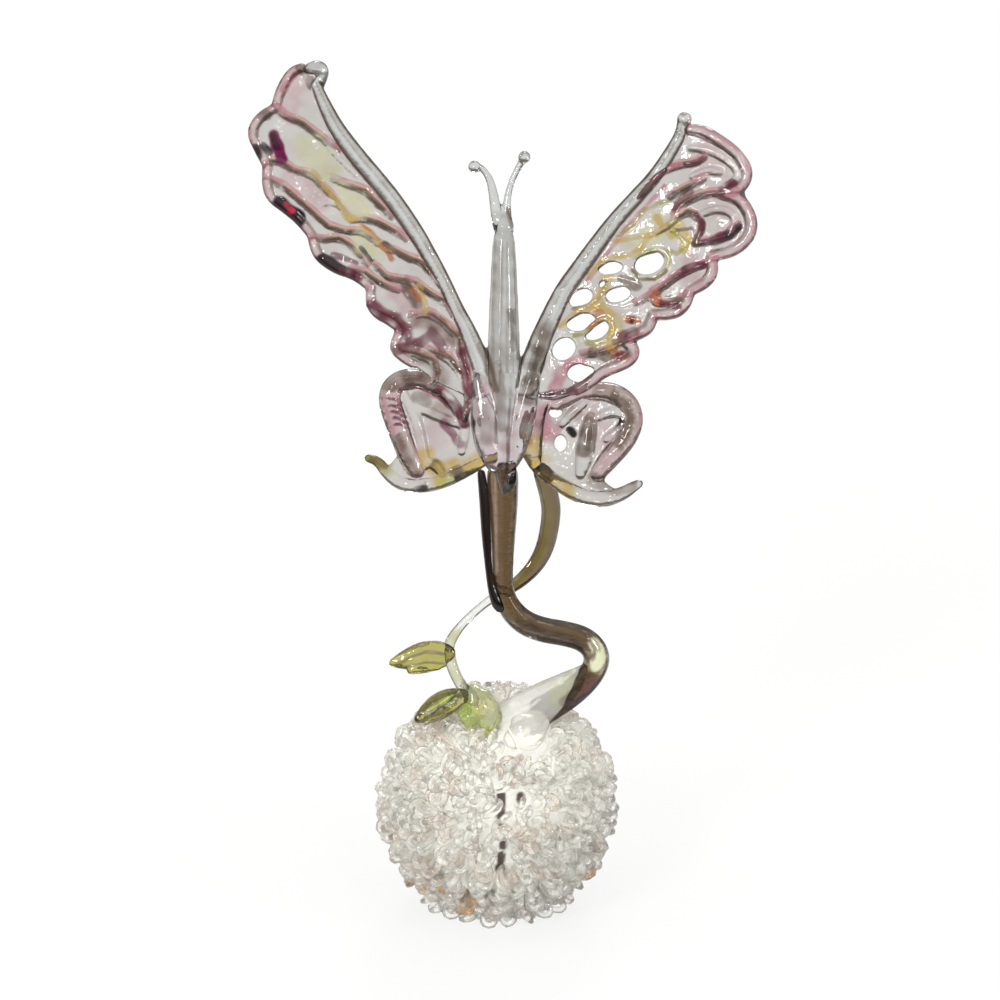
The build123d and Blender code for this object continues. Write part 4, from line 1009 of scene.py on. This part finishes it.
class ORNAMENT_OT_body(bpy.types.Operator):
    """Draws the body, head and antennae, the leading rods and the drops over the wing roots"""

    bl_idname = "ornament.add_body"
    bl_label = "Body"

    def execute(self, context):
        spar_unit = context.scene.ornament_sizes.spar_scale * MM
        knob, antenna_drop = 1.15 * MM, 0.95 * MM
        parts = [
            rod(LEFT_FORE, LEFT_SPAR, spar_unit), rod(LEFT_FORE, LEFT_HOOK, spar_unit),
            rod(RIGHT_FORE, RIGHT_SPAR, spar_unit), draw_bead(RIGHT_FORE.spot(26.4, 48.9), knob),
        ]
        for line in (LEFT_ANTENNA, RIGHT_ANTENNA):
            parts.append(draw_bead(BODY.spot(*line[-1][:2]), antenna_drop))
        parts += [
            rod(LEFT_FORE, LEFT_ROOT, MM, 1.0), rod(RIGHT_FORE, RIGHT_ROOT, MM, 1.0),
            rod(BODY, BODY_LINE), rod(BODY, HEAD_LINE), rod(BODY, BODY_DROP, MM, 0.8),
            rod(BODY, LEFT_ANTENNA), rod(BODY, RIGHT_ANTENNA),
        ]
        strokes = (*spar_strokes(-1, LEFT_SPAR), *spar_strokes(1, RIGHT_SPAR), *BODY_STAINS_AND_SHADE)
        finish("body", BODY, parts, strokes, "body glass", "clear_glass",
               "body", "head", "left_antenna", "right_antenna", "left_root_lobe",
               "right_root_lobe", "left_forewing_spar", "left_tip_hook", "right_forewing_spar")
        return {"FINISHED"}


def add_rods(name, material, slot, strokes, *courses, fineness=1.0):
    """One piece of the figure, from rods that have run together."""
    parts = [rod(FIGURE, line) for line in courses]
    finish(name, FIGURE, parts, strokes, material, slot, fineness=fineness)


# The brown wash of the stem, its dark edges on both sides and its grey-brown and dark lines are
# painted shade; its pale and peach lines are painted highlights
STEM_STAINS_AND_SHADE = (
    ("amber", 5, 1, STEM_LINE), ("haze", 0.6, 0.6, -0.4, 50, -0.3, 42, -0.1, 34),
    ("peach", 0.2, 0.7, -0.3, 50, -0.2, 42, 0, 34),
    ("brown", 0.35, 0.9, 0.5, 50, 0.5, 42, 0.5, 34, 0.7, 30.6),
    ("umber", 0.4, 0.9, edge_of(STEM_LINE, 0.88)), ("umber", 0.4, 0.9, edge_of(STEM_LINE, -0.88)),
    ("milk", 0.55, 0.8, -0.2, 28.4, 1.4, 26.6, 3.4, 25.2, 5.6, 24.4),
    ("haze", 0.25, 0.9, 4.4, 28.6, 8.6, 27.2, 12.6, 26.4, 15.4, 24.4),
    ("peach", 0.15, 0.8, 6, 26.6, 10, 25.8, 13, 25.2),
    ("peach", 0.15, 0.6, 4.6, 25.2, 8, 24.3, 11, 23.6),
    ("umber", 0.4, 1, 3, 26.8, 7, 25, 11, 24.2, 13.2, 22.8),
    ("umber", 0.3, 1, 3.6, 28.4, 8, 26.4, 12, 25.4, 14.4, 23.8),
    ("lime", 1.1, 1, 14.2, 23.6, 15.2, 21.6, 14.6, 20.2),
    ("brown", 0.3, 0.9, 13.4, 24.2, 14.4, 22.6, 14, 21),
    ("umber", 0.4, 0.9, 13.2, 18.8, 10.4, 16, 7.6, 14.2),
    ("burgundy", 0.5, 0.5, 14, 18.2, 11.2, 15.2, 8.4, 13.2),
)
# The brown wash and the brown lines along the vine are painted shade
VINE_STAINS_AND_SHADE = (
    ("amber", 3, 1, 6.6, 49, 8.1, 42.5, 6.9, 36.4, 3.4, 32.3),
    ("olive", 3, 0.18, 6.6, 49, 8.1, 42.5, 6.9, 36.4, 3.4, 32.3),
    ("brown", 0.7, 0.85, 7.4, 48, 8.8, 42.5, 7.6, 36.4, 4.4, 32.4),
    ("brown", 0.5, 0.8, 5.6, 48, 7, 42.5, 5.9, 37), ("olive", 1.6, 0.6, -6.4, 24.8, -7.6, 22.6),
)
STALK_STAINS = (("olive", 3, 0.5, -7.4, 23, -3.3, 14.8),)
LOWER_LEAF_STAINS = (
    ("moss", 0.8, 0.85, -6.6, 15.2, -8.2, 14.4, -10.2, 13.2),
    ("olive", 0.6, 0.8, -8, 15.2, -9.8, 14.2), ("green", 0.45, 0.8, -8, 14.9, -6.4, 15.7),
    ("umber", 0.22, 0.85, -5.6, 16.4, -7.6, 15.9, -9.8, 14.6, -11.4, 12.8),
    ("umber", 0.2, 0.8, -6.2, 15.8, -7.4, 14.6, -8.4, 14, -9.6, 13), ("umber", 0.3, 0.95, -7.8, 14),
)


class ORNAMENT_OT_stem(bpy.types.Operator):
    """Draws the stem, its dark trail, the vine and the leaves"""

    bl_idname = "ornament.add_stem"
    bl_label = "Stem and vine"

    def execute(self, context):
        add_rods("main_stem", "stem glass", "amber_glass", STEM_STAINS_AND_SHADE, STEM_LINE)
        add_rods("dark_trail", "dark trail glass", "dark_glass", None, TRAIL_LINE, fineness=0.8)
        add_rods("vine", "vine glass", "amber_glass", VINE_STAINS_AND_SHADE, VINE_LINE, fineness=0.8)
        add_rods("leaf_stalk", "vine glass", "green_glass", STALK_STAINS, STALK_LINE, fineness=0.8)
        self.add_leaf("upper_leaf", UPPER_LEAF, UPPER_VEINS, ())
        self.add_leaf("lower_leaf", LOWER_LEAF, LOWER_VEINS, LOWER_LEAF_STAINS)
        return {"FINISHED"}

    @staticmethod
    def add_leaf(name, line, veins, strokes):
        """A drop of glass pressed thin across the front, with raised veins."""
        blade = rod(FIGURE, line)
        middle = FIGURE.spot(*line[len(line) // 2][:3])
        thickness, vein_front, vein_swell, vein_radius = 0.45, 11.1, 0.9, 0.55
        for vertex in blade.data.vertices:
            ahead = (vertex.co - middle).dot(FRONT)
            vertex.co -= FRONT * ahead * (1 - thickness)
        ribs = [
            rod(FIGURE, [
                (*spot, vein_front + vein_swell * (place in (1, 2)), vein_radius)
                for place, spot in enumerate(vein)
            ])
            for vein in veins
        ]
        finish(name, FIGURE, [blade, *ribs], (
            ("leaf", 6, 1, line),
            *(("olive", 0.45, 0.8, beside(vein, -0.1)) for vein in veins),
            # A painted shade beside each vein
            *(("amber", 0.28, 0.6, beside(vein, 0.7)) for vein in veins),
            *strokes,
        ), "leaf glass", "green_glass", rounds=5, fineness=0.8)


SEAT_STAINS_AND_SHADE = (
    # The brown line on the seat is painted shade
    ("lime", 2.6, 0.8, 9, 15.6, 11.6, 17.6), ("amber", 1, 0.5, 10, 14.9, 12.6, 17),
)
KNOT_STAINS = (
    ("green", 2.4, 0.7, -4.6, 12.6, -3, 10.4), ("green", 1.4, 0.8, -5, 14.6, -3.6, 13.4),
    ("green", 0.9, 1, -1.4, 10.8, -1, 10.4), ("olive", 0.5, 0.9, -1.1, 10.8),
    ("gold", 1.2, 0.5, -2.6, 15, -2.4, 13.4),
)


class ORNAMENT_OT_welds(bpy.types.Operator):
    """Melts the milky seat, the clear drop and the green knot onto the ball"""

    bl_idname = "ornament.add_welds"
    bl_label = "Welds"

    def execute(self, context):
        add_rods("clear_seat", "milky glass", "frosted_glass", SEAT_STAINS_AND_SHADE, SEAT_LINE)
        add_rods("clear_drop", "drop glass", "clear_glass", (), DROP_LINE)
        add_rods("green_knot", "knot glass", "green_glass", KNOT_STAINS, *KNOT_LINES)
        return {"FINISHED"}


class ORNAMENT_OT_ball(bpy.types.Operator):
    """Builds the milky core and covers it with crocheted loops"""

    bl_idname = "ornament.add_ball"
    bl_label = "Crocheted ball"

    def execute(self, context):
        sizes = context.scene.ornament_sizes
        self.add_core(sizes)
        loop = self.one_loop(sizes)
        self.add_rows(sizes, loop)
        bpy.data.objects.remove(loop)
        return {"FINISHED"}

    @staticmethod
    def add_core(sizes):
        """The fused ball, flat where it stands."""
        deselect_all()
        bpy.ops.mesh.primitive_uv_sphere_add(
            segments=96, ring_count=64, radius=sizes.core_radius, location=BALL * MM,
        )
        core = apply_placing()
        clearance, pad_height, pad_radius, grain = 0.1 * MM, 6 * MM, 7.6 * MM, 0.32 * MM
        bpy.ops.mesh.primitive_cylinder_add(
            vertices=64, radius=pad_radius, depth=pad_height,
            location=(0, 0, pad_height / 2 + clearance),
        )
        core = melt("ball_core_glass", [core, apply_placing()], grain, rounds=3)
        # The slits are painted dark on the core: painted shade for the gaps between the loops
        paint(core, FIGURE, [("umber", 0.8, 1, side, high, side, low) for side, high, low in SLITS])
        dress(core, "core glass", "frosted_glass", "loop_ball_core")

    @staticmethod
    def one_loop(sizes):
        """One loop of thread standing on the ground at the origin, of a few dozen faces."""
        half = sizes.loop_width / 2 - sizes.loop_wire
        height = sizes.loop_height - sizes.loop_wire
        near = [
            Vector((-half * 0.7, 0.3 * MM, -0.3 * MM)),
            Vector((-half * 1.35, 0.1 * MM, height * 0.45)),
            Vector((-half * 0.95, 0, height * 1.12)),
        ]
        far = [Vector((-spot.x, -spot.y, spot.z)) for spot in reversed(near)]
        radii = [sizes.loop_wire * share for share in (0.8, 1, 1.2, 1.2, 1, 0.8)]
        loop = draw_trail([*near, *far], radii, closed=True, steps=2, roundness=1)
        bpy.ops.object.shade_smooth()
        return loop

    def add_rows(self, sizes, loop):
        """Loops spread evenly over the ball, gathered in eight rows from the foot up."""
        chance = np.random.default_rng(7)
        golden_turn = math.pi * (3 - math.sqrt(5))
        bare_below = -62
        tops = (-43, -28, -12, 4, 20, 36, 52, 90)
        found = [[] for _ in tops]
        for number in range(sizes.loop_count):
            height = 1 - 2 * (number + 0.5) / sizes.loop_count
            turn = number * golden_turn
            ring = math.sqrt(1 - height * height)
            jitter = Vector(chance.normal(0, 0.04, 3))
            twist, lean = chance.uniform(0, math.tau), chance.normal(0, 0.42)
            size, tint = chance.uniform(0.8, 1.12), chance.uniform(0, 1)
            up = Vector((ring * math.cos(turn), ring * math.sin(turn), height)) + jitter
            up.normalize()
            latitude = math.degrees(math.asin(up.z))
            foot = BALL + up * sizes.core_radius / MM
            if latitude < bare_below or self.covered(foot, up):
                continue
            copy = self.set_loop(loop, self.stand(foot, up, twist, lean, size), tint, latitude)
            found[next(index for index, top in enumerate(tops) if latitude <= top)].append(copy)
        foot_count, foot_radius, foot_height, foot_latitude = 22, 8.3, 2.2, -80
        for number in range(foot_count):
            turn = math.tau * number / foot_count
            up = Vector((math.cos(turn), math.sin(turn), -0.12)).normalized()
            foot = Vector((foot_radius * math.cos(turn), foot_radius * math.sin(turn), foot_height))
            place = self.stand(foot, up, chance.normal(0, 0.5), chance.normal(0, 0.2), 1.0)
            found[0].append(self.set_loop(loop, place, chance.uniform(0, 1), foot_latitude))
        for number, row in enumerate(found, start=1):
            select_only(*row)
            bpy.ops.object.join()
            piece = bpy.context.object
            piece.name = piece.data.name = f"loop_row_{number}_glass"
            dress(piece, "loop glass", "clear_glass", f"loop_row_{number}")

    @staticmethod
    def stand(foot, up, twist, lean, size):
        """The place of a loop that stands on the ball, turned and leaning."""
        side = up.orthogonal().normalized()
        spin = Matrix.Rotation(twist, 4, up) @ Matrix.Rotation(lean, 4, side)
        stand = up.to_track_quat("Z", "Y").to_matrix().to_4x4()
        return Matrix.Translation(foot * MM) @ spin @ stand @ Matrix.Scale(size, 4)

    @staticmethod
    def set_loop(loop, place, tint, latitude):
        """A copy of the loop at its place, smoky in a few of them, and brown as painted shade in a
        few low on the ball.
        """
        copy = loop.copy()
        copy.data = loop.data.copy()
        copy.data.transform(place)
        bpy.context.collection.objects.link(copy)
        smoky_share, low_shade_share, low_shade_below = 0.12, 0.06, -25
        colour = (1, 1, 1)
        if tint < smoky_share:
            colour = (0.92, 0.86, 0.83)
        # Low on the ball a few loops turn brown: painted shade for the dark ground seen through
        # them
        if tint < low_shade_share and latitude < low_shade_below:
            colour = (0.80, 0.60, 0.42)
        store_stain_and_shade(copy.data, [colour] * len(copy.data.vertices))
        return copy

    @staticmethod
    def covered(foot, up):
        """Whether a weld or a slit takes the room of a loop."""
        half_loop, room, slit_end = 1.5, 1.0, 0.7
        away = foot + up * half_loop - BALL
        side, rise, front = away.dot(ACROSS), away.dot(RISE), away.dot(FRONT)
        for line in (SEAT_LINE, DROP_LINE, KNOT_LINES[0], STEM_LINE[-3:], LOWER_LEAF):
            for place in line:
                if (Vector((side, rise, front)) - Vector(place[:3])).length < place[3] + room:
                    return True
        return front > 0 and any(
            abs(side - across) < room and low - slit_end < rise < high + slit_end
            for across, high, low in SLITS
        )


class ORNAMENT_OT_stage(bpy.types.Operator):
    """Sets the pale floor, the soft studio light and the camera"""

    bl_idname = "ornament.add_stage"
    bl_label = "Stage"

    def execute(self, context):
        self.add_floor()
        self.add_light(context.scene)
        self.add_camera(context.scene)
        return {"FINISHED"}

    @staticmethod
    def add_floor():
        """A pale floor that looks white to the camera and darker in the glass far from the ball."""
        deselect_all()
        bpy.ops.mesh.primitive_plane_add(size=8, location=(0, 0, -0.02 * MM))
        floor = bpy.context.object
        floor.name = "floor"
        material = bpy.data.materials.new("pale floor")
        material.use_nodes = True
        tree = material.node_tree
        path = add_node(tree, "LightPath").outputs
        place = add_node(tree, "NewGeometry")
        away = add_node(tree, "VectorMath", {
            0: place.outputs["Position"], 1: (0, 0.12, 0),
        }, operation="DISTANCE")
        fade = add_ramp(tree, away.outputs["Value"], (0.22, (1, 1, 1, 1)),
                        (0.55, (0.16, 0.125, 0.10, 1)))
        fade.color_ramp.interpolation = "EASE"
        seen = path["Is Camera Ray"]
        backdrop = mixed(tree, seen, fade.outputs["Color"], (1, 1, 1, 1))
        white = add_node(tree, "Emission", {"Color": backdrop})
        for ray in ("Is Glossy Ray", "Is Transmission Ray"):
            seen = maths(tree, "MAXIMUM", seen, path[ray])
        glow = 0.8
        shader = tree.nodes["Principled BSDF"]
        feed(shader, {"Base Color": (0.82, 0.82, 0.81, 1), "Roughness": 0.9})
        mix = add_node(tree, "MixShader", {
            0: maths(tree, "MULTIPLY", seen, glow), 1: shader.outputs[0], 2: white.outputs[0],
        })
        feed(tree.nodes["Material Output"], {"Surface": mix.outputs[0]})
        floor.data.materials.append(material)

    @staticmethod
    def add_light(scene):
        """A pale sky over a brown ground, a window, a fill, a back light and two small lamps."""
        world = bpy.data.worlds.new("studio")
        world.use_nodes = True
        tree = world.node_tree
        place = add_node(tree, "TexCoord")
        split = add_node(tree, "SeparateXYZ", {0: place.outputs["Generated"]})
        sky = add_ramp(tree, split.outputs["Z"], (0.12, (0.17, 0.135, 0.11, 1)),
                       (0.62, (0.95, 0.95, 0.93, 1)))
        feed(tree.nodes["Background"], {"Color": sky.outputs["Color"]})
        scene.world = world
        middle = Vector((0, 0, 0.06))
        for spot, size, power in (
            ((-0.45, -0.75, 0.70), 0.24, 4.2), ((0.80, -0.40, 0.40), 0.10, 1.5),
            ((0.10, 0.80, 0.60), 0.30, 2.5), ((-0.75, 0.10, 0.30), 0.05, 0.7),
            ((0.35, -0.80, 0.95), 0.05, 0.9),
        ):
            deselect_all()
            bpy.ops.object.light_add(type="AREA", location=spot)
            lamp = bpy.context.object
            lamp.data.size = size
            lamp.data.energy = power
            lamp.rotation_euler = (Vector(spot) - middle).to_track_quat("Z", "Y").to_euler()
        scene.view_settings.view_transform = "Standard"

    @staticmethod
    def add_camera(scene):
        """A long lens at the photograph's height, square to the figure."""
        distance = 3000.0
        view_width = 147.0
        middle = BALL + ACROSS * 0.44 + RISE * 44.5 + FRONT * 10.0
        deselect_all()
        bpy.ops.object.camera_add(location=(middle + FRONT * distance) * MM)
        camera = bpy.context.object
        camera.rotation_euler = (math.pi / 2 - LEAN, 0, 0)
        camera.data.lens = camera.data.sensor_width * distance / view_width
        camera.data.clip_end = 20
        scene.camera = camera


OPERATORS = (
    ORNAMENT_OT_glasses, ORNAMENT_OT_left_forewing, ORNAMENT_OT_right_forewing,
    ORNAMENT_OT_hindwings, ORNAMENT_OT_body, ORNAMENT_OT_stem, ORNAMENT_OT_welds,
    ORNAMENT_OT_ball, ORNAMENT_OT_stage,
)


class ORNAMENT_PT_panel(bpy.types.Panel):
    """The ornament's pieces in the sidebar"""

    bl_label = "Glass Butterfly"
    bl_space_type = "VIEW_3D"
    bl_region_type = "UI"
    bl_category = "Ornament"

    def draw(self, context):
        for operator in OPERATORS:
            self.layout.operator(operator.bl_idname)
        for group in (context.scene.ornament_sizes, context.scene.ornament_colours):
            box = self.layout.box()
            for name in group.__annotations__:
                box.prop(group, name)


CLASSES = (OrnamentSizes, OrnamentColours, *OPERATORS, ORNAMENT_PT_panel)


def register():
    for each in CLASSES:
        bpy.utils.register_class(each)
    bpy.types.Scene.ornament_sizes = bpy.props.PointerProperty(type=OrnamentSizes)
    bpy.types.Scene.ornament_colours = bpy.props.PointerProperty(type=OrnamentColours)


def unregister():
    del bpy.types.Scene.ornament_colours
    del bpy.types.Scene.ornament_sizes
    for each in reversed(CLASSES):
        bpy.utils.unregister_class(each)


def main():
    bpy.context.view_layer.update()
    register()
    bpy.ops.ornament.add_glasses()
    bpy.ops.ornament.add_left_forewing()
    bpy.ops.ornament.add_right_forewing()
    bpy.ops.ornament.add_hindwings()
    bpy.ops.ornament.add_body()
    bpy.ops.ornament.add_stem()
    bpy.ops.ornament.add_welds()
    bpy.ops.ornament.add_ball()
    bpy.ops.ornament.add_stage()


if __name__ == "__main__":
    main()
